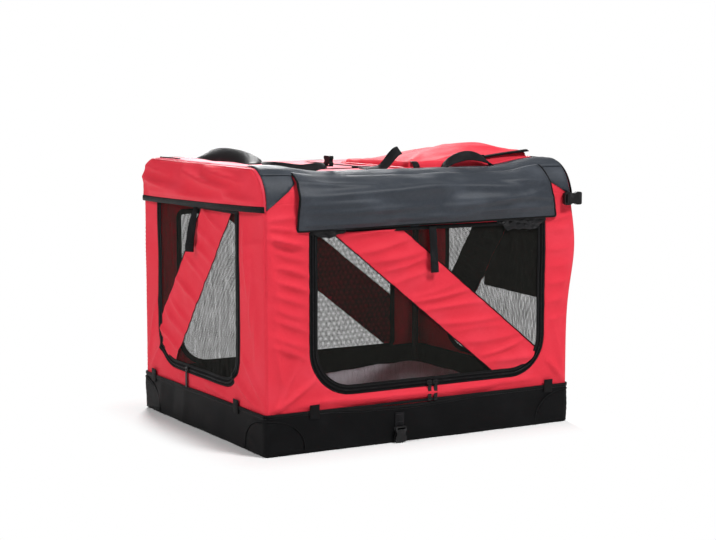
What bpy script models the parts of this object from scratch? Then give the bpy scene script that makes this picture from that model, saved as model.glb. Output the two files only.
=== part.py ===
"""Folding soft-sided dog crate, erected, in metres.

The origin is the middle of the floor, +X runs to the right end, +Y to the rear
and +Z up. A steel tube ring lies in the floor. Two pairs of jointed legs stand on
it and carry two roof rails, and the fabric box is drawn over them. The front and
the left end are zipped doors, the roof has a zipped hatch, and the rear and the
right end are fixed net windows. A roll-up cover hangs over each of the four.
"""

import math
from dataclasses import dataclass

import bmesh
import bpy
from mathutils import Vector

# Fabric box, measured over its outside
LENGTH = 0.745
DEPTH = 0.610
HEIGHT = 0.580
TOP_RADIUS = 0.070
ROOF_SAG = 0.016
SAG_STARTS = 0.335
SAG_IS_FULL = 0.200
FABRIC = 0.003
GAP = 0.0003

# Black band round the foot of the walls, and what lies on the floor
BAND_HEIGHT = 0.086
BAND_THICKNESS = 0.003
FLOOR_THICKNESS = 0.004
MAT_LENGTH = 0.672
MAT_DEPTH = 0.554
MAT_EDGE = 0.0180
MAT_CROWN = 0.0255
MAT_DRAWN_IN = 0.004
MAT_CORNER = 0.022

# Steel tube frame
TUBE = 0.008
TUBE_SIDES = 10
LEG_X = 0.3465
LEG_Y = 0.288
RING_CORNER = 0.030
FOOT_PIN_Z = 0.034
HOOP_TOP_Z = 0.566
HOOP_RADIUS = 0.055
ELBOW_OFFSET = 0.013
ELBOW_HALF_GAP = 0.0004
RAIL_DROP = 0.018
RAIL_Y = 0.190

# Foot brackets, elbows and saddles
PIN = 0.0025
PIN_HOLE = 0.0028
PLATE_THICKNESS = 0.0025
PLATE_HALF_WIDTH = 0.013
LUG_RADIUS = 0.004
LUG_INNER = 0.0040
LUG_OUTER = 0.0045
LUG_EDGE = 0.0075
LUG_REACH = 0.022
COLLAR_RADIUS = 0.0105
COLLAR_BORE = 0.0083
COLLAR_WIDTH = 0.024

# Zipped doors and sewn windows: edges in the plane of their wall
FRONT_DOOR = (-0.274, 0.309, 0.112, 0.4490)
FRONT_DOOR_RADII = (0.075, 0.065, 0.012, 0.012)
LEFT_DOOR = (-0.190, 0.229, 0.116, 0.4870)
LEFT_DOOR_RADII = (0.055, 0.075, 0.012, 0.012)
REAR_WINDOW = (-0.288, 0.288, 0.093, 0.4500)
REAR_WINDOW_RADII = (0.070, 0.070, 0.012, 0.012)
RIGHT_WINDOW = (-0.225, 0.180, 0.103, 0.4820)
RIGHT_WINDOW_RADII = (0.060, 0.070, 0.012, 0.012)
ZIP_WIDTH = 0.017
DOOR_HEM = 0.004
DOOR_CLEARANCE = 0.0010
HINGE_CLEARANCE = 0.0025
HINGE_RISE = 0.0010
HATCH_HINGE_CLEARANCE = 0.0040
NET_BAR = 0.0100
NET_THICKNESS = 0.0012
NET_DEPTH = 0.0015
FRONT_BRACE = ((-0.1415, 0.450), (0.240, 0.1435))
LEFT_BRACE = ((-0.0745, 0.486), (0.196, 0.1545))
REAR_BRACE = ((-0.100, 0.450), (0.288, 0.149))
RIGHT_BRACE = ((-0.120, 0.487), (0.180, 0.187))
STRIPE_WIDTH = 0.106
STRIPE_THICKNESS = 0.0010
STRIPE_DEPTH = -0.0002
SEAM_GAP = 0.0005

# Roll-up covers
HEM_HEIGHT = 0.4555
HEM_SLANT = 0.006
END_HEM_HEIGHT = 0.4930
END_HEM_SLANT = 0.008
END_HINGE_DROP = 0.0035
RIGHT_COVER_HEM = 0.259
RIGHT_COVER_SLANT = -0.016
RIGHT_COVER_REAR_EDGE = 0.035
LONG_COVER_ANGLES = (58, 44, 30, 15, 0)
LONG_COVER_HINGE = (0.2740, 0.5650)
LONG_COVER_SLACK = 0.007
LONG_COVER_FOLD = 0.0018
END_COVER_FOLD = 0.0015
COVER_STAND_OFF = 0.0028
COVER_THICKNESS = 0.0025

# Webbing, buckles, sliders
WEBBING = 0.0020
TIE_WIDTH = 0.020
TIE_LENGTH = 0.096
TIE_STAND_OFF = 0.0020
TIE_BOW = 0.003
HANDLE_WIDTH = 0.026
LEFT_HANDLE_X = -0.303
LEFT_HANDLE_ENDS = (0.160, -0.128)
LEFT_HANDLE_RISE = 0.030
RIGHT_HANDLE_WIDTH = 0.024
RIGHT_HANDLE_Y = -0.2205
RIGHT_HANDLE_ENDS = (0.102, 0.224)
RIGHT_HANDLE_RISE = 0.024
SEWN_DOWN = 0.0018
ROOF_STRAP_Y = -0.205
ROOF_STRAP_ENDS = (-0.300, -0.182)
ROOF_STRAP_RISE = 0.0108
ROOF_STRAP_WIDTH = 0.022
STANDING_STRAP_Y = -0.190
STANDING_STRAP_ENDS = (-0.085, 0.008)
STANDING_STRAP_LIES = 0.52
STANDING_STRAP_RISE = 0.036
STANDING_STRAP_WIDTH = 0.024
ROOF_BUCKLE_LENGTH = 0.022
BUCKLE_WIDTH = 0.026
BUCKLE_LENGTH = 0.033
BUCKLE_THICKNESS = 0.009
SLIDER_LENGTH = 0.013
SLIDER_WIDTH = 0.009
SLIDER_THICKNESS = 0.0050
PULL_LENGTH = 0.034
PULL_GAP = 0.0014
PULL_STAND_OFF = 0.0048
PULL_WIDTH = 0.008
PULL_THICKNESS = 0.0020
SMALL_ROUND = 0.003

# Roof hatch and roof pocket
HATCH = (-0.232, -0.018, -0.130, 0.180)
HATCH_CORNER = 0.010
HATCH_SLIDER_INSET = (0.045, 0.008)
POCKET = (0.018, 0.330, -0.205, 0.085)
POCKET_ZIP_START = 0.190
POCKET_FRONT_LOW = 0.0065
POCKET_FRONT_RISE = 0.0265
POCKET_CREST_RISE = 0.041
POCKET_CREST_AT = 0.45
POCKET_RIGHT_FALL = 0.014
POCKET_REAR_FALL = 0.35
POCKET_CORNER_PULL = 0.05
POCKET_CLEARANCE = 0.0007
POCKET_SLIDER_X = 0.215
POCKET_SLIDER_LIFT = 0.0024

# Colours as they read in daylight: red, green, blue, then roughness and metallic
RED = (0.72, 0.035, 0.07)
CHARCOAL = (0.075, 0.085, 0.10)
BLACK = (0.010, 0.010, 0.011)
NET_GREY = (0.05, 0.05, 0.055)
FLEECE = (0.36, 0.34, 0.38)
STEEL = (0.03, 0.03, 0.032)

HALF_LENGTH = LENGTH / 2
HALF_DEPTH = DEPTH / 2
RING_Z = FLOOR_THICKNESS + GAP + TUBE
ELBOW_Z = (FOOT_PIN_Z + HOOP_TOP_Z) / 2
ROOF_Z = HEIGHT - ROOF_SAG


@dataclass(frozen=True)
class Side:
    """One upright wall: the axis that its face looks along, and which way is out."""

    axis: str
    face: float
    out: int

    def span(self, depth, thickness):
        """Low and high coordinate of a layer that starts depth inside the face."""
        near = self.face - self.out * depth
        far = self.face - self.out * (depth + thickness)
        return min(near, far), max(near, far)

    def point(self, across, height, depth):
        """World point at a place on the wall, depth inside its face."""
        inward = self.face - self.out * depth
        if self.axis == "Y":
            return Vector((across, inward, height))
        return Vector((inward, across, height))


FRONT = Side("Y", -HALF_DEPTH, -1)
REAR = Side("Y", HALF_DEPTH, 1)
LEFT = Side("X", -HALF_LENGTH, -1)
RIGHT = Side("X", HALF_LENGTH, 1)


def clear_scene():
    for item in list(bpy.data.objects):
        bpy.data.objects.remove(item, do_unlink=True)


def make_material(name, colour, roughness, metallic=0.0):
    material = bpy.data.materials.new(name)
    material.use_nodes = True
    shader = material.node_tree.nodes["Principled BSDF"]
    shader.inputs["Base Color"].default_value = (*colour, 1.0)
    shader.inputs["Roughness"].default_value = roughness
    shader.inputs["Metallic"].default_value = metallic
    material.diffuse_color = (*colour, 1.0)
    return material


def add_object(name, shape, material, smooth=False):
    """Turn a bmesh into a named object with its own copy of a material."""
    mesh = bpy.data.meshes.new(name)
    shape.to_mesh(mesh)
    shape.free()
    own = material.copy()
    own.name = name
    mesh.materials.append(own)
    if smooth:
        mesh.shade_smooth()
        mesh.set_sharp_from_angle(angle=math.radians(40))
    item = bpy.data.objects.new(name, mesh)
    bpy.context.collection.objects.link(item)
    return item


def as_guide(item):
    item.hide_render = True
    item.display_type = "WIRE"


def combine(item, other, operation):
    """Join, cut or trim a piece with another shape that is only a guide."""
    as_guide(other)
    step = item.modifiers.new(other.name, "BOOLEAN")
    step.operation = operation
    step.object = other
    step.solver = "EXACT"
    return item


def union(item, *others):
    for other in others:
        combine(item, other, "UNION")
    return item


def cut(item, *others):
    for other in others:
        combine(item, other, "DIFFERENCE")
    return item


def trim(item, other):
    return combine(item, other, "INTERSECT")


def place(axis, across, up, along):
    """A point of a flat outline, set along the axis that the outline faces."""
    if axis == "X":
        return Vector((along, across, up))
    if axis == "Y":
        return Vector((across, along, up))
    return Vector((across, up, along))


def plate(name, outline, axis, low, high, material, smooth=False):
    """A flat outline made into a plate between two coordinates on its axis."""
    shape = bmesh.new()
    face = shape.faces.new([shape.verts.new(place(axis, a, b, low)) for a, b in outline])
    grown = bmesh.ops.extrude_face_region(shape, geom=[face])
    moved = [part for part in grown["geom"] if isinstance(part, bmesh.types.BMVert)]
    bmesh.ops.translate(shape, verts=moved, vec=place(axis, 0, 0, high - low))
    bmesh.ops.recalc_face_normals(shape, faces=shape.faces)
    return add_object(name, shape, material, smooth)


def rectangle(a0, a1, b0, b1):
    return [(a0, b0), (a1, b0), (a1, b1), (a0, b1)]


def rounded_rectangle(a0, a1, b0, b1, radii, steps=5):
    """Corners run low left, low right, high right, high left."""
    low_left, low_right, high_right, high_left = radii
    corners = (
        (a0 + low_left, b0 + low_left, low_left, 180),
        (a1 - low_right, b0 + low_right, low_right, 270),
        (a1 - high_right, b1 - high_right, high_right, 0),
        (a0 + high_left, b1 - high_left, high_left, 90),
    )
    points = []
    for a, b, radius, start in corners:
        for step in range(steps + 1):
            angle = math.radians(start + 90 * step / steps)
            points.append((a + radius * math.cos(angle), b + radius * math.sin(angle)))
    return points


def inset_outline(edges, radii, by):
    a0, a1, b0, b1 = edges
    smaller = tuple(max(radius - by, 0.001) for radius in radii)
    return rounded_rectangle(a0 + by, a1 - by, b0 + by, b1 - by, smaller)


def disc(a, b, radius, sides=12):
    turn = 2 * math.pi / sides
    return [(a + radius * math.cos(i * turn), b + radius * math.sin(i * turn)) for i in range(sides)]


def sweep(name, path, section, across, material, closed=False, smooth=True):
    """Carry a section along a flat path; across is square to the path's plane."""
    shape = bmesh.new()
    count = len(path)
    rings = []
    for i, point in enumerate(path):
        before = path[i - 1] if closed or i else point
        after = path[(i + 1) % count] if closed or i < count - 1 else point
        side = across.cross((after - before).normalized())
        rings.append([shape.verts.new(point + across * u + side * v) for u, v in section])
    pairs = list(zip(rings, rings[1:]))
    if closed:
        pairs.append((rings[-1], rings[0]))
    size = len(section)
    for ring, following in pairs:
        for i in range(size):
            j = (i + 1) % size
            shape.faces.new((ring[i], ring[j], following[j], following[i]))
    if not closed:
        shape.faces.new(rings[0])
        shape.faces.new(rings[-1])
    bmesh.ops.recalc_face_normals(shape, faces=shape.faces)
    return add_object(name, shape, material, smooth)


def tube_section():
    return disc(0, 0, TUBE, TUBE_SIDES)


def ribbon_section(width):
    return rectangle(-width / 2, width / 2, -WEBBING / 2, WEBBING / 2)


def rod(name, start, end, radius, material, sides=12):
    """A straight round bar along X, Y or Z."""
    along = end - start
    across = Vector((0, 0, 1)) if abs(along.z) < abs(along.length) / 2 else Vector((0, 1, 0))
    return sweep(name, [start, end], disc(0, 0, radius, sides), across, material)


def slab(name, xs, ys, lower, upper, material, smooth=True, warp=None):
    """A solid over a grid of x and y, between a lower and an upper surface."""
    shape = bmesh.new()

    def layer(height):
        rows = []
        for x in xs:
            row = []
            for y in ys:
                px, py = warp(x, y) if warp else (x, y)
                row.append(shape.verts.new((px, py, height(x, y))))
            rows.append(row)
        return rows

    bottom, top = layer(lower), layer(upper)
    for rows in (bottom, top):
        for i in range(len(xs) - 1):
            for j in range(len(ys) - 1):
                shape.faces.new((rows[i][j], rows[i + 1][j], rows[i + 1][j + 1], rows[i][j + 1]))
    rim = [(i, 0) for i in range(len(xs))]
    rim += [(len(xs) - 1, j) for j in range(1, len(ys))]
    rim += [(i, len(ys) - 1) for i in range(len(xs) - 2, -1, -1)]
    rim += [(0, j) for j in range(len(ys) - 2, 0, -1)]
    for (i, j), (k, m) in zip(rim, rim[1:] + rim[:1]):
        shape.faces.new((bottom[i][j], bottom[k][m], top[k][m], top[i][j]))
    bmesh.ops.recalc_face_normals(shape, faces=shape.faces)
    return add_object(name, shape, material, smooth)


def cloth(name, rows, outward, thickness, material):
    """A sheet through rows of points on its outer face, thickened inwards."""
    shape = bmesh.new()
    grid = [[shape.verts.new(point) for point in row] for row in rows]
    for row, following in zip(grid, grid[1:]):
        for i in range(len(row) - 1):
            shape.faces.new((row[i], row[i + 1], following[i + 1], following[i]))
    shape.faces.ensure_lookup_table()
    shape.normal_update()
    if shape.faces[-1].normal.dot(outward) < 0:
        bmesh.ops.reverse_faces(shape, faces=shape.faces)
    item = add_object(name, shape, material, smooth=True)
    thicken = item.modifiers.new("thickness", "SOLIDIFY")
    thicken.thickness = thickness
    thicken.offset = -1
    return item


def evenly(low, high, count):
    return [low + (high - low) * i / (count - 1) for i in range(count)]


def smooth_step(value):
    value = min(max(value, 0.0), 1.0)
    return value * value * (3 - 2 * value)


def sag(x):
    """How far the roof hangs below the end hoops at a place along the crate."""
    return ROOF_SAG * smooth_step((SAG_STARTS - abs(x)) / (SAG_STARTS - SAG_IS_FULL))


def roof_height(x):
    return HEIGHT - sag(x)


def sag_stations():
    """Places along X where the roof line needs a point."""
    edge = HALF_LENGTH - FABRIC - GAP
    right = [SAG_IS_FULL, *evenly(SAG_IS_FULL, SAG_STARTS, 6)[1:-1], SAG_STARTS, edge]
    return [-x for x in reversed(right)] + right


def pivot(name, at, parent=None):
    """An empty on a joint's axis, which carries the pieces of one moving body."""
    empty = bpy.data.objects.new(name, None)
    bpy.context.collection.objects.link(empty)
    empty.empty_display_size = 0.02
    empty["at"] = tuple(at)
    empty.location = at
    if parent:
        empty.parent = parent
        empty.location = Vector(at) - Vector(parent["at"])
    return empty


def attach(body, *items):
    """Give pieces their origin on the joint's axis and let them follow it."""
    at = Vector(body["at"])
    for item in items:
        for vertex in item.data.vertices:
            vertex.co -= at
        item.parent = body
        item.location = (0, 0, 0)


def make_floor(mats):
    outline = rectangle(-HALF_LENGTH, HALF_LENGTH, -HALF_DEPTH, HALF_DEPTH)
    plate("floor_panel", outline, "Z", 0, FLOOR_THICKNESS, mats["black"])

    def drawn_in(x, y):
        across, along = (2 * y / MAT_DEPTH) ** 2, (2 * x / MAT_LENGTH) ** 2
        corner = MAT_CORNER * across * along
        edge_x = 1 - (2 * MAT_DRAWN_IN * (1 - across) + corner) / MAT_LENGTH
        edge_y = 1 - (2 * MAT_DRAWN_IN * (1 - along) + corner) / MAT_DEPTH
        return x * edge_x, y * edge_y

    def crown(x, y):
        rise = (1 - (2 * x / MAT_LENGTH) ** 6) * (1 - (2 * y / MAT_DEPTH) ** 6)
        return FLOOR_THICKNESS + MAT_EDGE + (MAT_CROWN - MAT_EDGE) * rise**0.5

    xs = [MAT_LENGTH / 2 * math.sin(t) for t in evenly(-math.pi / 2, math.pi / 2, 13)]
    ys = [MAT_DEPTH / 2 * math.sin(t) for t in evenly(-math.pi / 2, math.pi / 2, 11)]
    under = FLOOR_THICKNESS + GAP
    slab("fleece_mat", xs, ys, lambda x, y: under, crown, mats["fleece"], warp=drawn_in)


def make_band(mats):
    reach_x, reach_y = HALF_LENGTH + GAP, HALF_DEPTH + GAP
    inner = rectangle(-reach_x, reach_x, -reach_y, reach_y)
    reach_x += BAND_THICKNESS
    reach_y += BAND_THICKNESS
    outer = rounded_rectangle(-reach_x, reach_x, -reach_y, reach_y, (0.004,) * 4, steps=3)
    band = plate("base_band", outer, "Z", 0, BAND_HEIGHT, mats["black"])
    hollow = plate("band_hollow", inner, "Z", -0.01, BAND_HEIGHT + 0.01, mats["black"])
    cut(band, hollow)


def make_long_wall(name, side, opening, radii, mats):
    """Front or rear wall: upright, then rolled over the hoops to the roof."""
    centre = HALF_DEPTH - TOP_RADIUS
    shoulder = HEIGHT - TOP_RADIUS
    profile = [(HALF_DEPTH, FLOOR_THICKNESS + GAP)]
    for step in range(7):
        angle = math.radians(90 * step / 6)
        profile.append((centre + TOP_RADIUS * math.cos(angle), shoulder + TOP_RADIUS * math.sin(angle)))
    rows = []
    for reach, z in profile:
        share = max(z - shoulder, 0) / TOP_RADIUS
        rows.append([Vector((x, side.out * reach, z - sag(x) * share)) for x in sag_stations()])
    wall = cloth(name, rows, Vector((0, 0, 1)), FABRIC, mats["red"])
    cut(wall, make_opening(name + "_opening", side, opening, radii, mats))


def make_end_wall(name, side, opening, radii, mats):
    """Left or right wall: flat, with the round of the hoop at its top corners."""
    bottom = FLOOR_THICKNESS + GAP
    corner = (0.001, 0.001, TOP_RADIUS, TOP_RADIUS)
    outline = rounded_rectangle(-HALF_DEPTH, HALF_DEPTH, bottom, HEIGHT, corner, steps=6)
    wall = plate(name, outline, "X", *side.span(0, FABRIC), mats["red"])
    cut(wall, make_opening(name + "_opening", side, opening, radii, mats))


def make_opening(name, side, edges, radii, mats):
    outline = rounded_rectangle(*edges, radii)
    return plate(name, outline, side.axis, *side.span(-0.01, 0.03), mats["red"])


def is_clear(hole, edges, radii, border):
    """Whether a net's hole keeps its border from the net's rounded outline."""
    a0, a1, b0, b1 = edges
    for a, b in rectangle(*hole):
        if not (a0 + border < a < a1 - border and b0 + border < b < b1 - border):
            return False
        corners = ((a0, b0, radii[0]), (a1, b0, radii[1]))
        for corner_a, corner_b, radius in corners:
            off_a, off_b = radius - abs(a - corner_a), radius - abs(b - corner_b)
            if off_a > 0 and off_b > 0 and math.hypot(off_a, off_b) > radius - border:
                return False
    return True


def make_net(name, side, edges, radii, columns, rows, mats):
    """A flat net: a thin sheet with a grid of square holes and a sewn border."""
    a0, a1, b0, b1 = edges
    outline = rounded_rectangle(*edges, radii)
    net = plate(name, outline, side.axis, *side.span(NET_DEPTH, NET_THICKNESS), mats["net"])
    pitch_a, pitch_b = (a1 - a0) / columns, (b1 - b0) / rows
    low, high = side.span(NET_DEPTH - 0.002, NET_THICKNESS + 0.004)
    shape = bmesh.new()
    for column in range(columns):
        for row in range(rows):
            left = a0 + pitch_a * column + NET_BAR / 2
            foot = b0 + pitch_b * row + NET_BAR / 2
            hole = (left, left + pitch_a - NET_BAR, foot, foot + pitch_b - NET_BAR)
            if is_clear(hole, edges, radii, NET_BAR / 2 - 0.001):
                add_box(shape, side.axis, hole, low, high)
    bmesh.ops.recalc_face_normals(shape, faces=shape.faces)
    cut(net, add_object(name + "_holes", shape, mats["net"]))
    return net


def add_box(shape, axis, hole, low, high):
    """Add one box to a shape: an outline's rectangle between two coordinates."""
    near = [shape.verts.new(place(axis, a, b, low)) for a, b in rectangle(*hole)]
    far = [shape.verts.new(place(axis, a, b, high)) for a, b in rectangle(*hole)]
    shape.faces.new(near)
    shape.faces.new(far)
    for i in range(4):
        j = (i + 1) % 4
        shape.faces.new((near[i], near[j], far[j], far[i]))


def make_stripe(name, side, edges, radii, top, bottom, mats):
    """The diagonal fabric brace across a net, trimmed to the net's outline."""
    start, end = Vector(top), Vector(bottom)
    along = (end - start).normalized()
    start, end = start - along * 0.15, end + along * 0.15
    square = Vector((-along.y, along.x)) * STRIPE_WIDTH / 2
    outline = [start + square, start - square, end - square, end + square]
    layer = side.span(STRIPE_DEPTH, STRIPE_THICKNESS)
    stripe = plate(name, outline, side.axis, *layer, mats["red"])
    limit = inset_outline(edges, radii, SEAM_GAP)
    guide = plate(name + "_limit", limit, side.axis, *side.span(-0.01, 0.02), mats["red"])
    return trim(stripe, guide)


def inside_zip(edges):
    """Edges of the space inside a door's zip, which has only a hem along its top."""
    a0, a1, b0, b1 = edges
    return a0 + ZIP_WIDTH, a1 - ZIP_WIDTH, b0 + ZIP_WIDTH, b1 - DOOR_HEM


def inside_radii(radii):
    return tuple(max(radius - ZIP_WIDTH, 0.001) for radius in radii)


def make_zip_ring(name, side, edges, radii, mats):
    """The zip and its tape round three sides of a door, and the hem it hangs by."""
    layer = side.span(-0.0005, FABRIC)
    ring = plate(name, rounded_rectangle(*edges, radii), side.axis, *layer, mats["black"])
    inner = rounded_rectangle(*inside_zip(edges), inside_radii(radii))
    return cut(ring, plate(name + "_inside", inner, side.axis, *side.span(-0.01, 0.03), mats["black"]))


def make_tie(name, side, across, top, mats):
    """A webbing tie hanging in front of a door, to hold it when it is rolled up."""
    path = []
    for t in evenly(0, 1, 7):
        stand_off = TIE_STAND_OFF + TIE_BOW * math.sin(math.pi * t)
        path.append(side.point(across, top - TIE_LENGTH * t, -stand_off))
    square = Vector((1, 0, 0)) if side.axis == "Y" else Vector((0, 1, 0))
    return sweep(name, path, ribbon_section(TIE_WIDTH), square, mats["black"])


def make_slider(name, side, across, height, mats):
    """The body of a zip slider, with the bridge that its pull hangs from."""
    half = SLIDER_LENGTH / 2
    low, high = side.span(-0.0008 - SLIDER_THICKNESS, SLIDER_THICKNESS)
    half_width = SLIDER_WIDTH / 2
    edges = (across - half, across + half, height - half_width, height + half_width)
    outline = rounded_rectangle(*edges, (SMALL_ROUND,) * 4, steps=3)
    body = plate(name, outline, side.axis, low, high, mats["plastic"])
    groove = rectangle(across - half - 0.001, across + half + 0.001, height - 0.0022, height + 0.0022)
    depth = side.span(-0.0008 - SLIDER_THICKNESS - 0.001, 0.0028)
    cut(body, plate(name + "_groove", groove, side.axis, *depth, mats["plastic"]))
    bridge = rod(
        name + "_bridge",
        side.point(across, height - 0.0040, -0.0047),
        side.point(across, height + 0.0040, -0.0047),
        0.0008,
        mats["plastic"],
        sides=8,
    )
    return union(body, bridge)


def make_pull(name, side, across, height, mats):
    """A zip pull: a tab that hangs from the slider's bridge."""
    top = height - SLIDER_WIDTH / 2 - PULL_GAP
    edges = (across - PULL_WIDTH / 2, across + PULL_WIDTH / 2, top - PULL_LENGTH, top)
    outline = rounded_rectangle(*edges, (SMALL_ROUND,) * 4, steps=3)
    layer = side.span(-PULL_STAND_OFF - PULL_THICKNESS / 2, PULL_THICKNESS)
    pull = plate(name, outline, side.axis, *layer, mats["plastic"])
    eye = disc(across, top - PULL_LENGTH + 0.006, 0.0018, 8)
    return cut(pull, plate(name + "_eye", eye, side.axis, *side.span(-0.01, 0.02), mats["plastic"]))


def make_buckle(name, axis, outline, low, high, bar, mats):
    """Side-release buckle half: a shell with thumb cut-outs and a webbing slot."""
    shell = plate(name, outline, axis, low, high, mats["plastic"])
    slot = plate(name + "_slot", bar, axis, low - 0.005, high + 0.005, mats["plastic"])
    return cut(shell, slot)


def buckle_outline(a, b, width, length):
    """Rounded shell with a waist, centred on a and running up from b."""
    half = width / 2
    waist = half * 0.80
    left = [(-half, 0.16), (-half, 0.34), (-waist, 0.44), (-waist, 0.62), (-half, 0.74), (-half, 0.92)]
    right = [(-x, y) for x, y in reversed(left)]
    points = [(-half * 0.8, 0.0), *left, (-half * 0.85, 1.0), (half * 0.85, 1.0), *right, (half * 0.8, 0.0)]
    return [(a + x, b + y * length) for x, y in points]


def make_base_ring(mats):
    """The closed tube ring that lies on the floor and spreads it."""
    outline = rounded_rectangle(-LEG_X, LEG_X, -LEG_Y, LEG_Y, (RING_CORNER,) * 4, steps=5)
    path = [Vector((x, y, RING_Z)) for x, y in outline]
    sweep("base_frame", path, tube_section(), Vector((0, 0, 1)), mats["steel"], closed=True)


def make_foot_bracket(name, x, y, mats):
    """A plate on the ring's corner with two cheeks and the pin of a leg."""
    low = RING_Z + TUBE + GAP
    base = rectangle(x - PLATE_HALF_WIDTH, x + PLATE_HALF_WIDTH, y - PLATE_HALF_WIDTH, y + PLATE_HALF_WIDTH)
    bracket = plate(name, base, "Z", low, low + PLATE_THICKNESS, mats["steel"])
    cheek = [(x - 0.008, low + 0.001), (x + 0.008, low + 0.001)]
    for step in range(7):
        angle = math.radians(180 * step / 6)
        cheek.append((x + 0.007 * math.cos(angle), FOOT_PIN_Z + 0.007 * math.sin(angle)))
    inner = TUBE + 0.0008
    outer = inner + PLATE_THICKNESS
    for sign in (-1, 1):
        faces = sorted((y + sign * inner, y + sign * outer))
        union(bracket, plate(f"{name}_cheek_{sign}", cheek, "Y", *faces, mats["steel"]))
    reach = Vector((0, outer - 0.0004, 0))
    centre = Vector((x, y, FOOT_PIN_Z))
    return union(bracket, rod(name + "_pin", centre - reach, centre + reach, PIN, mats["steel"]))


def elbow_lug(name, end, y0, y1, up, mats):
    """One lug of an elbow: a web on the tube's outer side, ending in an eye."""
    outward = 1 if end > 0 else -1
    eye_x = end + outward * ELBOW_OFFSET
    root_z = ELBOW_Z + up * LUG_REACH
    outline = [
        (end + outward * 0.003, root_z),
        (end + outward * (TUBE + 0.001), root_z),
        (eye_x + outward * LUG_RADIUS * 0.94, ELBOW_Z + up * 0.0015),
    ]
    for step in range(1, 8):
        angle = math.pi * step / 8
        side_x = eye_x + outward * LUG_RADIUS * math.cos(angle)
        outline.append((side_x, ELBOW_Z - up * LUG_RADIUS * math.sin(angle)))
    outline.append((eye_x - outward * LUG_RADIUS * 0.94, ELBOW_Z + up * 0.0015))
    outline.append((end + outward * 0.003, ELBOW_Z + up * 0.006))
    return plate(name, outline, "Y", y0, y1, mats["steel"])


def make_lower_leg(name, x, y, mats):
    """From the foot pin up to the elbow, with the elbow's outer lugs and pin."""
    start = Vector((x, y, FOOT_PIN_Z - 0.004))
    end = Vector((x, y, ELBOW_Z - ELBOW_HALF_GAP))
    leg = rod(name, start, end, TUBE, mats["steel"], TUBE_SIDES)
    pin = Vector((x, y, FOOT_PIN_Z))
    reach = Vector((0, TUBE * 2, 0))
    cut(leg, rod(name + "_bore", pin - reach, pin + reach, PIN_HOLE, mats["steel"]))
    union(leg, elbow_lug(name + "_lug_low", x, y - LUG_EDGE, y - LUG_OUTER, -1, mats))
    union(leg, elbow_lug(name + "_lug_high", x, y + LUG_OUTER, y + LUG_EDGE, -1, mats))
    outward = 1 if x > 0 else -1
    axis = Vector((x + outward * ELBOW_OFFSET, y, ELBOW_Z))
    half = Vector((0, LUG_EDGE - 0.0005, 0))
    return union(leg, rod(name + "_elbow_pin", axis - half, axis + half, PIN * 0.75, mats["steel"]))


def make_upper_hoop(name, x, mats):
    """Two upper legs and the bar between them, bent from one tube."""
    foot = ELBOW_Z + ELBOW_HALF_GAP
    side, shoulder = LEG_Y - HOOP_RADIUS, HOOP_TOP_Z - HOOP_RADIUS
    path = [Vector((x, -LEG_Y, foot))]
    for centre, start in ((-side, 180), (side, 90)):
        for step in range(7):
            angle = math.radians(start - 90 * step / 6)
            turn = Vector((0, HOOP_RADIUS * math.cos(angle), HOOP_RADIUS * math.sin(angle)))
            path.append(Vector((x, centre, shoulder)) + turn)
    path.append(Vector((x, LEG_Y, foot)))
    hoop = sweep(name, path, tube_section(), Vector((1, 0, 0)), mats["steel"])
    outward = 1 if x > 0 else -1
    for sign in (-1, 1):
        y = sign * LEG_Y
        union(hoop, elbow_lug(f"{name}_lug_{sign}", x, y - LUG_INNER, y + LUG_INNER, 1, mats))
        axis = Vector((x + outward * ELBOW_OFFSET, y, ELBOW_Z))
        half = Vector((0, 0.012, 0))
        cut(hoop, rod(f"{name}_bore_{sign}", axis - half, axis + half, PIN * 0.75 + 0.0004, mats["steel"]))
    return hoop


def make_rail(name, y, mats):
    reach = LEG_X - 0.0085
    height = HOOP_TOP_Z - RAIL_DROP
    start, end = Vector((-reach, y, height)), Vector((reach, y, height))
    return rod(name, start, end, TUBE, mats["steel"], TUBE_SIDES)


def make_saddle(name, x, y, mats):
    """Moulded saddle: a collar that turns on the hoop and a socket for a rail."""
    inward = -1 if x > 0 else 1
    half = COLLAR_WIDTH / 2
    ends = sorted((x - inward * 0.004, x + inward * 0.034))
    rail_z = HOOP_TOP_Z - RAIL_DROP
    outline = rounded_rectangle(*ends, rail_z - 0.0115, rail_z + 0.0115, (0.003,) * 4, steps=2)
    saddle = plate(name, outline, "Y", y - half, y + half, mats["plastic"])
    start, end = Vector((x, y - half, HOOP_TOP_Z)), Vector((x, y + half, HOOP_TOP_Z))
    union(saddle, rod(name + "_collar", start, end, COLLAR_RADIUS, mats["plastic"], 16))
    reach = Vector((0, 0.004, 0))
    cut(saddle, rod(name + "_collar_bore", start - reach, end + reach, COLLAR_BORE, mats["plastic"], 16))
    mouth = Vector((x + inward * 0.040, y, rail_z))
    stop = Vector((x + inward * 0.0080, y, rail_z))
    return cut(saddle, rod(name + "_socket", stop, mouth, COLLAR_BORE, mats["plastic"], 16))


def make_roof_panel(mats):
    edge = HALF_DEPTH - TOP_RADIUS - 0.0005
    panel = slab(
        "roof_panel",
        sag_stations(),
        [-edge, edge],
        lambda x, y: roof_height(x) - FABRIC,
        lambda x, y: roof_height(x),
        mats["red"],
    )
    x0, x1, y0, y1 = HATCH
    gap = DOOR_CLEARANCE
    outline = rectangle(x0 - gap, x1 + gap, y0 - gap, y1 + HATCH_HINGE_CLEARANCE)
    cut(panel, plate("hatch_opening", outline, "Z", ROOF_Z - 0.02, ROOF_Z + 0.02, mats["red"]))


def make_hatch(mats):
    """The zipped roof hatch, which turns up about its rear edge."""
    outline = rounded_rectangle(*HATCH, (HATCH_CORNER,) * 4, steps=3)
    return plate("roof_hatch", outline, "Z", ROOF_Z - FABRIC, ROOF_Z, mats["red"])


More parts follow.
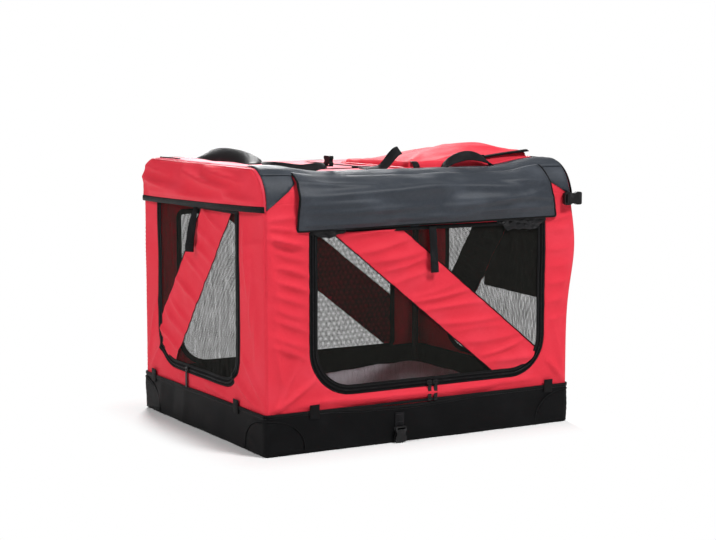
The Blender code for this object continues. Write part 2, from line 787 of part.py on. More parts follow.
def make_flat_slider(name, x, y, z, way, mats):
    """A slider on the roof or the pocket, its pull lying flat towards +x or -x."""
    half, half_width = SLIDER_LENGTH / 2, SLIDER_WIDTH / 2
    edges = (x - half, x + half, y - half_width, y + half_width)
    body = rounded_rectangle(*edges, (SMALL_ROUND,) * 4, 3)
    slider = plate(name, body, "Z", z, z + SLIDER_THICKNESS, mats["plastic"])
    tab_start, tab_end = sorted((x + way * 0.004, x + way * (0.004 + PULL_LENGTH)))
    tab_edges = (tab_start, tab_end, y - PULL_WIDTH / 2, y + PULL_WIDTH / 2)
    tab = rounded_rectangle(*tab_edges, (SMALL_ROUND,) * 4, 3)
    return union(slider, plate(name + "_tab", tab, "Z", z + 0.0014, z + 0.0036, mats["plastic"]))


def pocket_top(x, y):
    """Height of the pocket's top above the roof: low at the front left, full in the middle."""
    x0, x1, y0, y1 = POCKET
    along, across = (x - x0) / (x1 - x0), (y - y0) / (y1 - y0)
    rise = max(0, (x - POCKET_ZIP_START) / (x1 - POCKET_ZIP_START))
    front = POCKET_FRONT_LOW + POCKET_FRONT_RISE * rise
    crest = POCKET_FRONT_LOW + POCKET_CREST_RISE * smooth_step((along - 0.15) / 0.60)
    crest -= POCKET_RIGHT_FALL * smooth_step((along - 0.78) / 0.22)
    if across < POCKET_CREST_AT:
        return front + (crest - front) * math.sin(math.pi / 2 * max(0, across) / POCKET_CREST_AT)
    return crest * (1 - POCKET_REAR_FALL * smooth_step((across - POCKET_CREST_AT) / (1 - POCKET_CREST_AT)))


def make_pocket(mats):
    x0, x1, y0, y1 = POCKET
    xs, ys = evenly(x0, x1, 11), evenly(y0, y1, 8)

    def under(x, y):
        return roof_height(x) + POCKET_CLEARANCE

    def over(x, y):
        return ROOF_Z + pocket_top(x, y)

    def softened(x, y):
        mid_x, mid_y = (x0 + x1) / 2, (y0 + y1) / 2
        u, v = (x - mid_x) / (x1 - mid_x), (y - mid_y) / (y1 - mid_y)
        pull = POCKET_CORNER_PULL * u * u * v * v
        return mid_x + (x - mid_x) * (1 - pull), mid_y + (y - mid_y) * (1 - pull)

    return slab("roof_pocket", xs, ys, under, over, mats["red"], warp=softened)


def arch_path(start, end, rise, steps=15):
    """A slack handle between two sewn ends: it leaves the roof steeply."""
    path = []
    for t in evenly(0, 1, steps):
        height = rise * math.sin(math.pi * t) ** 0.75
        path.append(start.lerp(end, t) + Vector((0, 0, height)))
    return path


def make_left_handle(mats):
    x = LEFT_HANDLE_X
    foot = roof_height(x - HANDLE_WIDTH / 2) + SEWN_DOWN
    rear, front = LEFT_HANDLE_ENDS
    path = arch_path(Vector((x, rear, foot)), Vector((x, front, foot)), LEFT_HANDLE_RISE)
    return sweep("left_handle", path, ribbon_section(HANDLE_WIDTH), Vector((1, 0, 0)), mats["webbing"])


def make_right_handle(mats):
    y = RIGHT_HANDLE_Y
    left, right = (Vector((x, y, roof_height(x) + SEWN_DOWN)) for x in RIGHT_HANDLE_ENDS)
    path = arch_path(left, right, RIGHT_HANDLE_RISE)
    return sweep("right_handle", path, ribbon_section(RIGHT_HANDLE_WIDTH), Vector((0, 1, 0)), mats["webbing"])


def make_left_roof_strap(mats):
    """A loose tail of webbing from the left handle to the roof buckle."""
    start, end = ROOF_STRAP_ENDS
    path = []
    for t in evenly(0, 1, 10):
        x = start + (end - start) * t
        height = roof_height(x) + SEWN_DOWN + ROOF_STRAP_RISE * smooth_step((t - 0.4) / 0.6)
        path.append(Vector((x, ROOF_STRAP_Y, height)))
    section = ribbon_section(ROOF_STRAP_WIDTH)
    return sweep("left_roof_strap", path, section, Vector((0, 1, 0)), mats["webbing"])


def make_right_roof_strap(mats):
    """Webbing from the roof's front edge, standing up beside the pocket."""
    start, end = STANDING_STRAP_ENDS
    path = []
    for t in evenly(0, 1, 14):
        share = max(0, t - STANDING_STRAP_LIES) / (1 - STANDING_STRAP_LIES)
        height = ROOF_Z + SEWN_DOWN + STANDING_STRAP_RISE * share**1.5
        path.append(Vector((start + (end - start) * t, STANDING_STRAP_Y, height)))
    section = ribbon_section(STANDING_STRAP_WIDTH)
    return sweep("right_roof_strap", path, section, Vector((0, 1, 0)), mats["webbing"])


def make_roof_buckle(at, mats):
    """Female buckle half, standing where the webbing tail ends."""
    outline = buckle_outline(at.y, at.z, BUCKLE_WIDTH, ROOF_BUCKLE_LENGTH)
    bar = rectangle(at.y - 0.0095, at.y + 0.0095, at.z + 0.0025, at.z + 0.0055)
    low, high = at.x + 0.0008, at.x + 0.0008 + BUCKLE_THICKNESS
    return make_buckle("roof_buckle", "X", outline, low, high, bar, mats)


def make_long_cover(name, side, top_edges, bottom_edges, columns, mats):
    """Cloth cover over a long side, rolled over the top round and hanging."""
    centre = HALF_DEPTH - TOP_RADIUS
    shoulder = HEIGHT - TOP_RADIUS
    off = GAP + COVER_STAND_OFF
    rows = []
    for angle in LONG_COVER_ANGLES:
        turn = math.radians(angle)
        reach = TOP_RADIUS + off
        rows.append((centre + reach * math.cos(turn), shoulder + reach * math.sin(turn)))
    for step in range(1, 6):
        rows.append((HALF_DEPTH + off, shoulder + (HEM_HEIGHT - shoulder) * step / 5))
    grid = []
    count = len(rows) - 1
    for i, (reach, z) in enumerate(rows):
        v = i / count
        left = top_edges[0] + (bottom_edges[0] - top_edges[0]) * v
        right = top_edges[1] + (bottom_edges[1] - top_edges[1]) * v
        row = []
        for u in evenly(0, 1, columns):
            x = left + (right - left) * u
            billow = 1 + 0.35 * math.sin(2 * math.pi * (2.3 * u + 0.9 * v))
            slack = LONG_COVER_SLACK * smooth_step(v * 1.3) * billow
            wave = math.sin(2 * math.pi * (2.6 * v + 0.5 * math.sin(2 * math.pi * u)))
            fold = LONG_COVER_FOLD * smooth_step(v * 2) * wave
            share = max(z - shoulder, 0) / (TOP_RADIUS + off)
            slant = HEM_SLANT * (u - 0.5) * max(shoulder - z, 0) / (shoulder - HEM_HEIGHT)
            out = side.out * (reach + slack + max(fold, -slack))
            row.append(Vector((x, out, z - sag(x) * share + slant)))
        grid.append(row)
    outward = Vector((0, side.out, 0))
    return cloth(name, grid, outward, COVER_THICKNESS, mats["charcoal"] if side.out < 0 else mats["red"])


def make_end_cover(name, side, bottom, slant, lower_half, rear_edge, bulge, rows, mats):
    """Cloth cover over an end: as wide as the hoop at its top, its rear edge drawn in."""
    shoulder = HEIGHT - TOP_RADIUS
    top = HEIGHT - END_HINGE_DROP
    grid = []
    for v in evenly(0, 1, rows):
        z = top + (bottom - top) * v
        lift = min(max((z - shoulder) / TOP_RADIUS, 0), 0.999)
        half = HALF_DEPTH - TOP_RADIUS + TOP_RADIUS * math.sqrt(1 - lift * lift) - 0.0015
        half += (lower_half - half) * smooth_step((0.490 - z) / 0.03)
        rear = half + (min(rear_edge, half) - half) * smooth_step((0.545 - z) / 0.11)
        row = []
        for u in evenly(-1, 1, 17):
            swell = bulge * math.sin(math.pi * min(v * 0.8 + 0.12, 1)) * (1 - 0.55 * u**4)
            fold = END_COVER_FOLD * math.sin(2 * math.pi * (1.7 * u + 1.4 * v)) * smooth_step(v * 3)
            height = z - slant * u / 2 * smooth_step((v - 0.5) * 2)
            across = (rear - half) / 2 + u * (rear + half) / 2
            row.append(side.point(across, height, -(GAP + COVER_STAND_OFF + max(swell + fold, 0))))
        grid.append(row)
    return cloth(name, grid, Vector((side.out, 0, 0)), COVER_THICKNESS, mats["red"])


def build():
    clear_scene()
    mats = {
        "red": make_material("red_fabric", RED, 0.75),
        "charcoal": make_material("charcoal_fabric", CHARCOAL, 0.6),
        "black": make_material("black_fabric", BLACK, 0.6),
        "webbing": make_material("black_webbing", BLACK, 0.8),
        "net": make_material("black_net", NET_GREY, 0.8),
        "fleece": make_material("grey_fleece", FLEECE, 0.95),
        "plastic": make_material("black_plastic", BLACK, 0.4),
        "steel": make_material("black_tube", STEEL, 0.35, 0.6),
    }
    make_floor(mats)
    make_band(mats)

    hinge_gap = HINGE_CLEARANCE + HINGE_RISE
    door_hole = (-DOOR_CLEARANCE, DOOR_CLEARANCE, -DOOR_CLEARANCE, hinge_gap)
    front_hole = tuple(edge + grow for edge, grow in zip(FRONT_DOOR, door_hole))
    left_hole = tuple(edge + grow for edge, grow in zip(LEFT_DOOR, door_hole))
    make_long_wall("front_wall", FRONT, front_hole, FRONT_DOOR_RADII, mats)
    make_long_wall("rear_wall", REAR, REAR_WINDOW, REAR_WINDOW_RADII, mats)
    make_end_wall("left_wall", LEFT, left_hole, LEFT_DOOR_RADII, mats)
    make_end_wall("right_wall", RIGHT, RIGHT_WINDOW, RIGHT_WINDOW_RADII, mats)

    rear_net = tuple(edge + grow for edge, grow in zip(REAR_WINDOW, (GAP, -GAP, GAP, -GAP)))
    right_net = tuple(edge + grow for edge, grow in zip(RIGHT_WINDOW, (GAP, -GAP, GAP, -GAP)))
    make_net("rear_window_net", REAR, rear_net, REAR_WINDOW_RADII, 8, 6, mats)
    make_stripe("rear_window_stripe", REAR, rear_net, REAR_WINDOW_RADII, *REAR_BRACE, mats)
    make_net("right_window_net", RIGHT, right_net, RIGHT_WINDOW_RADII, 5, 6, mats)
    make_stripe("right_window_stripe", RIGHT, right_net, RIGHT_WINDOW_RADII, *RIGHT_BRACE, mats)

    strap_x = -0.063
    strap = [FRONT.point(strap_x, z, -BAND_THICKNESS - GAP - 0.0015) for z in (0.062, 0.050, 0.038)]
    sweep("base_strap", strap, ribbon_section(0.022), Vector((1, 0, 0)), mats["webbing"])
    buckle_face = FRONT.span(-BAND_THICKNESS - GAP - 0.0005 - BUCKLE_THICKNESS, BUCKLE_THICKNESS)
    outline = buckle_outline(strap_x, 0.0020, BUCKLE_WIDTH, BUCKLE_LENGTH)
    bar = rectangle(strap_x - 0.0095, strap_x + 0.0095, 0.0285, 0.0320)
    base_buckle = make_buckle("base_buckle", "Y", outline, *buckle_face, bar, mats)
    attach(pivot("base_buckle_swing", (strap_x, buckle_face[1] - 0.0045, 0.0365)), base_buckle)

    make_base_ring(mats)
    for end, x in (("left", -LEG_X), ("right", LEG_X)):
        for row, y in (("front", -LEG_Y), ("rear", LEG_Y)):
            make_foot_bracket(f"foot_bracket_{row}_{end}", x, y, mats)

    bodies = {}
    for end, x in (("left", -LEG_X), ("right", LEG_X)):
        outward = 1 if x > 0 else -1
        foot = pivot(f"{end}_foot_fold", (x, 0, FOOT_PIN_Z))
        elbow = pivot(f"{end}_elbow_fold", (x + outward * ELBOW_OFFSET, 0, ELBOW_Z), foot)
        legs = []
        for row, y in (("front", -LEG_Y), ("rear", LEG_Y)):
            legs.append(make_lower_leg(f"{end}_{row}_lower_leg", x, y, mats))
        attach(foot, *legs)
        attach(elbow, make_upper_hoop(f"{end}_upper_hoop", x, mats))
        bodies[end] = elbow

    roof = pivot("roof_pivot", (-LEG_X, 0, HOOP_TOP_Z), bodies["left"])
    before_roof = set(bpy.data.objects)
    make_rail("front_roof_rail", -RAIL_Y, mats)
    make_rail("rear_roof_rail", RAIL_Y, mats)
    for end, x in (("left", -LEG_X), ("right", LEG_X)):
        for row, y in (("front", -RAIL_Y), ("rear", RAIL_Y)):
            make_saddle(f"rail_saddle_{row}_{end}", x, y, mats)
    make_roof_panel(mats)
    make_pocket(mats)
    make_left_roof_strap(mats)
    make_right_roof_strap(mats)
    attach(roof, *[item for item in bpy.data.objects if item not in before_roof and not item.hide_render])

    hatch_edge = ((HATCH[0] + HATCH[1]) / 2, HATCH[3] + HINGE_RISE, ROOF_Z - FABRIC / 2)
    hatch_hinge = pivot("roof_hatch_hinge", hatch_edge, roof)
    attach(hatch_hinge, make_hatch(mats))
    inset_x, inset_y = HATCH_SLIDER_INSET
    slider_at = (HATCH[1] - inset_x, HATCH[2] + inset_y, ROOF_Z + GAP)
    hatch_slider = make_flat_slider("hatch_slider", *slider_at, 1, mats)
    attach(pivot("hatch_slider_slide", slider_at, hatch_hinge), hatch_slider)
    zip_y = POCKET[2] + 0.010
    high_x, high_y = POCKET_SLIDER_X + SLIDER_LENGTH / 2, zip_y + SLIDER_WIDTH / 2
    zip_z = ROOF_Z + pocket_top(high_x, high_y) + POCKET_SLIDER_LIFT
    zip_at = (POCKET_SLIDER_X, zip_y, zip_z)
    attach(pivot("pocket_slider_slide", zip_at, roof), make_flat_slider("pocket_slider", *zip_at, -1, mats))
    edge = LEFT_HANDLE_X - HANDLE_WIDTH / 2
    left_hinge = (edge, sum(LEFT_HANDLE_ENDS) / 2, roof_height(edge) + GAP)
    attach(pivot("left_handle_lift", left_hinge, roof), make_left_handle(mats))
    edge = RIGHT_HANDLE_Y - RIGHT_HANDLE_WIDTH / 2
    right_hinge = (sum(RIGHT_HANDLE_ENDS) / 2, edge, ROOF_Z + GAP)
    attach(pivot("right_handle_lift", right_hinge, roof), make_right_handle(mats))
    buckle_at = Vector((-0.1785, ROOF_STRAP_Y, ROOF_Z + ROOF_STRAP_RISE))
    attach(pivot("roof_buckle_swing", buckle_at, roof), make_roof_buckle(buckle_at, mats))

    side_low, side_high = FRONT.span(-0.0035 - BUCKLE_THICKNESS, BUCKLE_THICKNESS)
    outline = [(x, z) for z, x in buckle_outline(0.4955, 0.3525, 0.028, 0.046)]
    bar = rectangle(0.3560, 0.3595, 0.4860, 0.5050)
    side_buckle = make_buckle("side_buckle", "Y", outline, side_low, side_high, bar, mats)
    attach(pivot("side_buckle_swing", (0.376, side_high, 0.5120), roof), side_buckle)

    long_covers = (
        ("front_cover", FRONT, (-0.330, 0.318), (-0.297, 0.329), 25),
        ("rear_cover", REAR, (-0.322, 0.322), (-0.310, 0.310), 17),
    )
    for name, side, *shape in long_covers:
        at = (0, side.out * LONG_COVER_HINGE[0], LONG_COVER_HINGE[1])
        attach(pivot(name + "_hinge", at, roof), make_long_cover(name, side, *shape, mats))
    end_covers = (
        ("left_cover", LEFT, END_HEM_HEIGHT, END_HEM_SLANT, 0.303, HALF_DEPTH, 0.011, 7),
        ("right_cover", RIGHT, RIGHT_COVER_HEM, RIGHT_COVER_SLANT, 0.250, RIGHT_COVER_REAR_EDGE, 0.009, 12),
    )
    for name, side, *shape in end_covers:
        at = (side.out * (HALF_LENGTH + 0.002), 0, HEIGHT - END_HINGE_DROP)
        attach(pivot(name + "_hinge", at, roof), make_end_cover(name, side, *shape, mats))

    make_doors(mats)


def make_doors(mats):
    """The two zipped doors, each on a hinge line along its top edge."""
    doors = (
        ("front", FRONT, FRONT_DOOR, FRONT_DOOR_RADII, (8, 6), FRONT_BRACE, 0.017, 0.0),
        ("left", LEFT, LEFT_DOOR, LEFT_DOOR_RADII, (5, 6), LEFT_BRACE, 0.0175, 0.0035),
    )
    for name, side, edges, radii, cells, brace, tie, tie_drop in doors:
        hinge_height = edges[3] + HINGE_RISE
        hinge = pivot(f"{name}_door_hinge", side.point(0, hinge_height, FABRIC / 2 - 0.0005))
        net_edges = tuple(edge + grow for edge, grow in zip(inside_zip(edges), (GAP, -GAP, GAP, -GAP)))
        inner_radii = inside_radii(radii)
        attach(
            hinge,
            make_zip_ring(f"{name}_door_zip", side, edges, radii, mats),
            make_net(f"{name}_door_net", side, net_edges, inner_radii, *cells, mats),
            make_stripe(f"{name}_door_stripe", side, net_edges, inner_radii, *brace, mats),
            make_tie(f"{name}_door_tie", side, tie, edges[3] - tie_drop, mats),
        )
        height = edges[2] + ZIP_WIDTH / 2
        places = {"front": (("_left", 0.0110), ("_right", 0.0260)), "left": (("", 0.070),)}[name]
        for suffix, across in places:
            slide = pivot(f"{name}_slider{suffix}_slide", side.point(across, height, 0), hinge)
            attach(slide, make_slider(f"{name}_zip_slider{suffix}", side, across, height, mats))
            bridge = side.point(across, height - SLIDER_WIDTH / 2 - PULL_GAP, -PULL_STAND_OFF)
            swing = pivot(f"{name}_pull{suffix}_swing", bridge, slide)
            attach(swing, make_pull(f"{name}_zip_pull{suffix}", side, across, height, mats))


if __name__ == "__main__":
    build()
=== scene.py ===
"""Looks of the folding soft-sided dog crate.

Every fabric part is cut as a flat pattern, laid on the side of the crate that it
belongs to, and pushed into its folds. Lengths are in metres, +X runs to the right
end, +Y to the rear and +Z up.
"""

import logging
import math
from abc import ABC, abstractmethod
from dataclasses import dataclass, field
from enum import Enum
from typing import Callable, Iterable, Sequence

import bmesh
import bpy
import numpy as np
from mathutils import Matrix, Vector
from mathutils.geometry import delaunay_2d_cdt


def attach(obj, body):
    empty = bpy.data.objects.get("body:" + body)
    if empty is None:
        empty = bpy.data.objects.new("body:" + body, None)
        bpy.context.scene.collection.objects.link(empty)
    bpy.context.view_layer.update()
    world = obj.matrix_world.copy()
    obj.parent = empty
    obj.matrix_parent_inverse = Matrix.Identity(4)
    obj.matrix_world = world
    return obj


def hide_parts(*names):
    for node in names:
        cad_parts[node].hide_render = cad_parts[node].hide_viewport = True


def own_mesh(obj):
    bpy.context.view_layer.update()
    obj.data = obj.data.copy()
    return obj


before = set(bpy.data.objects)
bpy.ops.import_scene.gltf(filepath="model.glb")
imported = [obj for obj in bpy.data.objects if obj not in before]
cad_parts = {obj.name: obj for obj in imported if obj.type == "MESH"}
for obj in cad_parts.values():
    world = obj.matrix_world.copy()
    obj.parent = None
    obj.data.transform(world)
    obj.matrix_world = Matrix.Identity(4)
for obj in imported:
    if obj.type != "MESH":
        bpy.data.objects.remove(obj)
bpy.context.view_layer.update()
LOG = logging.getLogger("crate")

Flat = tuple[float, float]
Colour = tuple[float, float, float]
Four = tuple[float, float, float, float]
Array = np.ndarray
Object = bpy.types.Object
Socket = bpy.types.NodeSocket
STITCH = (0.0028, 0.0008, 0.0004)
THIN_STITCH = (0.0028, 0.0007, 0.0004)
STITCH_PITCH = 0.0042


# Measurements


@dataclass(frozen=True)
class Box:
    """Overall measurements of the fabric box, as in the model."""

    half_length: float = 0.3725
    half_depth: float = 0.305
    height: float = 0.58
    top_radius: float = 0.07
    roof_sag: float = 0.016
    sag_starts: float = 0.335
    sag_is_full: float = 0.2
    fabric: float = 0.003
    seam_round: float = 0.007
    band_height: float = 0.086
    floor: float = 0.0043
    belly_push: float = 0.02
    belly_height: float = 0.395
    belly_reach: float = 0.1
    belly_from: Flat = (0.3, -0.08)
    belly_over: Flat = (0.07, 0.2)

    @property
    def shoulder(self) -> float:
        """Height at which the long sides start to roll over."""
        return self.height - self.top_radius

    @property
    def centre(self) -> float:
        """Distance from the middle to the axis of the top round."""
        return self.half_depth - self.top_radius

    @property
    def arc(self) -> float:
        """Length of fabric over the top round."""
        return self.top_radius * math.pi / 2

    def belly(self, x: Array, y: Array, z: Array) -> Array:
        """How far the front right corner's cloth bellies out.

        Args:
            x: Places along the crate.
            y: Places across the crate.
            z: Heights.

        Returns:
            The push at each place.
        """
        to_right = smooth((x - self.belly_from[0]) / self.belly_over[0])
        near = to_right * smooth((self.belly_from[1] - y) / self.belly_over[1])
        return self.belly_push * np.exp(-(((z - self.belly_height) / self.belly_reach) ** 2)) * near

    def sag(self, x: Array) -> Array:
        """How far the roof hangs below the end hoops.

        Args:
            x: Places along the crate.

        Returns:
            The drop at each place.
        """
        share = (self.sag_starts - np.abs(x)) / (self.sag_starts - self.sag_is_full)
        return self.roof_sag * smooth(share)

    def turned(self, inset: Array) -> Array:
        """How far the fabric has turned in towards a sewn corner.

        Args:
            inset: Distance inside the corner's outer edge.

        Returns:
            Depth below the flat of the side.
        """
        left = np.clip(self.seam_round - inset, 0, self.seam_round * 0.9999)
        return self.seam_round - np.sqrt(self.seam_round**2 - left**2)

    @property
    def mitre(self) -> float:
        """Inset at which two sides meet in the middle of their round."""
        return self.seam_round * (1 - math.sqrt(0.5))


def smooth(value: Array) -> Array:
    """Ease from 0 to 1.

    Args:
        value: Shares, clipped to 0 and 1.

    Returns:
        The eased shares.
    """
    share = np.clip(value, 0.0, 1.0)
    return share * share * (3 - 2 * share)


BOX = Box()


# Shader wiring


class Wire:
    """A number that leaves a shader socket and can be used in sums."""

    def __init__(self, graph: "Graph", socket: Socket) -> None:
        """Wrap a socket of a graph."""
        self.graph = graph
        self.socket = socket

    def _apply(self, operation: str, *values: "Wire | float") -> "Wire":
        """Add one Math node over the values and return its result."""
        node = self.graph.node("ShaderNodeMath", {"operation": operation}, dict(enumerate(values)))
        return Wire(self.graph, node.outputs[0])

    def __add__(self, other: "Wire | float") -> "Wire":
        """Sum."""
        return self._apply("ADD", self, other)

    __radd__ = __add__

    def __sub__(self, other: "Wire | float") -> "Wire":
        """Difference."""
        return self._apply("SUBTRACT", self, other)

    def __rsub__(self, other: "Wire | float") -> "Wire":
        """Difference from a number."""
        return self._apply("SUBTRACT", other, self)

    def __mul__(self, other: "Wire | float") -> "Wire":
        """Product."""
        return self._apply("MULTIPLY", self, other)

    __rmul__ = __mul__

    def __pow__(self, other: "Wire | float") -> "Wire":
        """Power."""
        return self._apply("POWER", self, other)

    def __abs__(self) -> "Wire":
        """Distance from zero."""
        return self._apply("ABSOLUTE", self)

    def sine(self) -> "Wire":
        """Sine of an angle in radians."""
        return self._apply("SINE", self)

    def most(self, other: "Wire | float") -> "Wire":
        """The larger of the two."""
        return self._apply("MAXIMUM", self, other)

    def ramp(self, low: float, high: float) -> "Wire":
        """Ease from 0 at low to 1 at high.

        Args:
            low: Value that gives 0.
            high: Value that gives 1.

        Returns:
            The eased value.
        """
        node = self.graph.node(
            "ShaderNodeMapRange",
            {"interpolation_type": "SMOOTHSTEP"},
            {"Value": self, "From Min": low, "From Max": high},
        )
        return Wire(self.graph, node.outputs[0])


class Graph:
    """The nodes of one material or of the world."""

    def __init__(self, owner: bpy.types.Material | bpy.types.World) -> None:
        """Start with nothing but the output.

        Args:
            owner: What the nodes belong to.
        """
        owner.use_nodes = True
        self.owner = owner
        self.tree = owner.node_tree
        self.tree.nodes.clear()
        kind = "World" if isinstance(owner, bpy.types.World) else "Material"
        self.output = self.node("ShaderNodeOutput" + kind)

    def node(self, kind: str, settings: dict | None = None, inputs: dict | None = None) -> bpy.types.Node:
        """Add a node.

        Args:
            kind: The node's type.
            settings: Properties of the node, set first; "stops" holds a ramp's stops.
            inputs: Values or links of its sockets, by name or number.

        Returns:
            The node.
        """
        made = self.tree.nodes.new(kind)
        for key, value in (settings or {}).items():
            if key == "stops":
                for index, (place, colour) in enumerate(value):
                    ramp = made.color_ramp.elements
                    stop = ramp[index] if index < len(ramp) else ramp.new(place)
                    stop.position = place
                    stop.color = (*colour, 1.0)
            else:
                setattr(made, key, value)
        for key, value in (inputs or {}).items():
            socket = made.inputs[key]
            if isinstance(value, Wire):
                self.tree.links.new(value.socket, socket)
            elif isinstance(value, Socket):
                self.tree.links.new(value, socket)
            elif isinstance(value, tuple) and len(value) == 3 and socket.type == "RGBA":
                socket.default_value = (*value, 1.0)
            else:
                socket.default_value = value
        return made

    def cloth_place(self) -> Socket:
        """Place on the cloth, in metres along and across it."""
        return self.node("ShaderNodeTexCoord").outputs["UV"]

    def solid_place(self) -> Socket:
        """Place in the piece itself, in metres."""
        return self.node("ShaderNodeTexCoord").outputs["Object"]

    def parts(self, place: Socket) -> tuple[Wire, Wire, Wire]:
        """Split a place into its three numbers."""
        split = self.node("ShaderNodeSeparateXYZ", inputs={0: place})
        return tuple(Wire(self, socket) for socket in split.outputs)

    def noise(self, place: Socket, size: Sequence[float], detail: float = 2.0) -> Wire:
        """Smooth noise.

        Args:
            place: Where it is read.
            size: Its feature size along each direction, in metres.
            detail: How many finer layers it has.

        Returns:
            Values round 0.5.
        """
        scale = tuple(1 / length for length in size) + (1.0,) * (3 - len(size))
        spread = self.node("ShaderNodeVectorMath", {"operation": "MULTIPLY"}, {0: place, 1: scale})
        made = self.node(
            "ShaderNodeTexNoise", inputs={
                "Vector": spread.outputs[0], "Scale": 1.0, "Detail": detail, "Roughness": 0.55
            }
        )
        return Wire(self, made.outputs[0])

    def mixed(self, share: Wire, first: Colour, second: Colour) -> Socket:
        """Blend two colours.

        Args:
            share: 0 for the first and 1 for the second.
            first: Red, green and blue, or a link.
            second: Red, green and blue, or a link.

        Returns:
            The blended colour's socket.
        """
        made = self.node("ShaderNodeMix", {"data_type": "RGBA"}, {0: share, 6: first, 7: second})
        return made.outputs[2]

    def bump(self, height_mm: Wire, strength: float = 1.0) -> Socket:
        """A normal from a height in millimetres."""
        made = self.node(
            "ShaderNodeBump", inputs={"Strength": strength, "Distance": 0.001, "Height": height_mm}
        )
        return made.outputs[0]

    def end(self, shader: bpy.types.Node) -> None:
        """Join the last shader to the output."""
        self.tree.links.new(shader.outputs[0], self.output.inputs[0])


# Finishes


@dataclass(frozen=True)
class Finish(ABC):
    """How a kind of surface looks, and the slot of the record that it stands for."""

    name: str
    slot: str

    @abstractmethod
    def look(self, graph: Graph) -> dict:
        """Wire up the finish and give the inputs of its shader."""

    def make(self) -> bpy.types.Material:
        """Make the material.

        Returns:
            The material, which ends in one Principled shader.
        """
        graph = Graph(bpy.data.materials.new(self.name))
        graph.end(graph.node("ShaderNodeBsdfPrincipled", inputs=self.look(graph)))
        return graph.owner


@dataclass(frozen=True)
class Fabric(Finish):
    """Woven polyester: a plain weave with slubs, soft crumples and rubbed patches."""

    colour: Colour = (0.5, 0.5, 0.5)
    rubbed: Colour = (0.6, 0.6, 0.6)
    roughness: float = 0.62
    thread: float = 0.001
    crumple_mm: float = 0.3
    specular: float = 0.1

    def look(self, graph: Graph) -> dict:
        """Wire up the finish and give the inputs of its shader.

        Args:
            graph: The material's nodes.

        Returns:
            The inputs.
        """
        place = graph.cloth_place()
        along, across, _ = graph.parts(place)
        turn = 2 * math.pi / self.thread
        weave = (along * turn).sine() * (across * turn).sine()
        warp = graph.noise(place, (self.thread * 1.2, self.thread * 9), 1.0)
        weft = graph.noise(place, (self.thread * 9, self.thread * 1.2), 1.0)
        crumple = graph.noise(place, (0.022, 0.015), 3.0)
        patch = graph.noise(place, (0.11, 0.09), 3.0)
        threads = warp * 0.5 + weft * 0.5
        height = weave * 0.035 + threads * 0.1 + crumple * self.crumple_mm
        worn = patch.ramp(0.45, 0.75) * 0.55 + threads.ramp(0.4, 0.7) * 0.25
        return {
            "Base Color": graph.mixed(worn, self.colour, self.rubbed),
            "Roughness": self.roughness + (patch - 0.5) * 0.16,
            "Normal": graph.bump(height),
            "Specular IOR Level": self.specular,
        }


@dataclass(frozen=True)
class Netting(Finish):
    """Knitted polyester net: rows of small round holes in a lattice of threads."""

    colour: Colour = (0.0125, 0.013, 0.0115)
    pitch: float = 0.0024
    level: float = -0.5
    uneven: float = 1.1
    streak: Flat = (0.0065, 0.022)

    def look(self, graph: Graph) -> dict:
        """Wire up the finish and give the inputs of its shader.

        Args:
            graph: The material's nodes.

        Returns:
            The inputs.
        """
        place = graph.cloth_place()
        along, across, _ = graph.parts(place)
        turn = 2 * math.pi / self.pitch * 1.155
        lattice = (across * turn + math.pi / 2).sine()
        lattice = lattice + (along * (turn * 0.866) + across * (turn * 0.5) + math.pi / 2).sine()
        lattice = lattice + (along * (turn * 0.866) - across * (turn * 0.5) + math.pi / 2).sine()
        drawn = (graph.noise(place, self.streak, 2.0) - 0.5) * self.uneven
        hole = (lattice + drawn).ramp(self.level - 0.12, self.level + 0.12)
        fuzz = graph.noise(place, (0.004, 0.004), 2.0)
        return {
            "Base Color": graph.mixed(fuzz, self.colour, tuple(c * 2.2 for c in self.colour)),
            "Roughness": 0.75 + (fuzz - 0.5) * 0.2,
            "Alpha": 1 - hole,
            "Normal": graph.bump((1 - hole) * 0.25),
            "Specular IOR Level": 0.06,
        }


@dataclass(frozen=True)
class Webbing(Finish):
    """Nylon webbing: ribs along it, crossed by a fine weft, with firm edges."""

    colour: Colour = (0.007, 0.007, 0.008)
    rubbed: Colour = (0.022, 0.022, 0.025)
    rib: float = 0.0016

    def look(self, graph: Graph) -> dict:
        """Wire up the finish and give the inputs of its shader.

        Args:
            graph: The material's nodes.

        Returns:
            The inputs.
        """
        place = graph.cloth_place()
        along, across, _ = graph.parts(place)
        ribs = (across * (2 * math.pi / self.rib)).sine()
        picks = (along * (2 * math.pi / 0.0012) + ribs * 0.9).sine()
        grain = graph.noise(place, (0.002, 0.0007), 2.0)
        patch = graph.noise(place, (0.03, 0.02), 3.0)
        worn = patch.ramp(0.4, 0.75) * 0.5 + grain.ramp(0.5, 0.8) * 0.3
        return {
            "Base Color": graph.mixed(worn, self.colour, self.rubbed),
            "Roughness": 0.55 + (patch - 0.5) * 0.2,
            "Normal": graph.bump(ribs * 0.1 + picks * 0.05 + grain * 0.08),
            "Specular IOR Level": 0.12,
        }


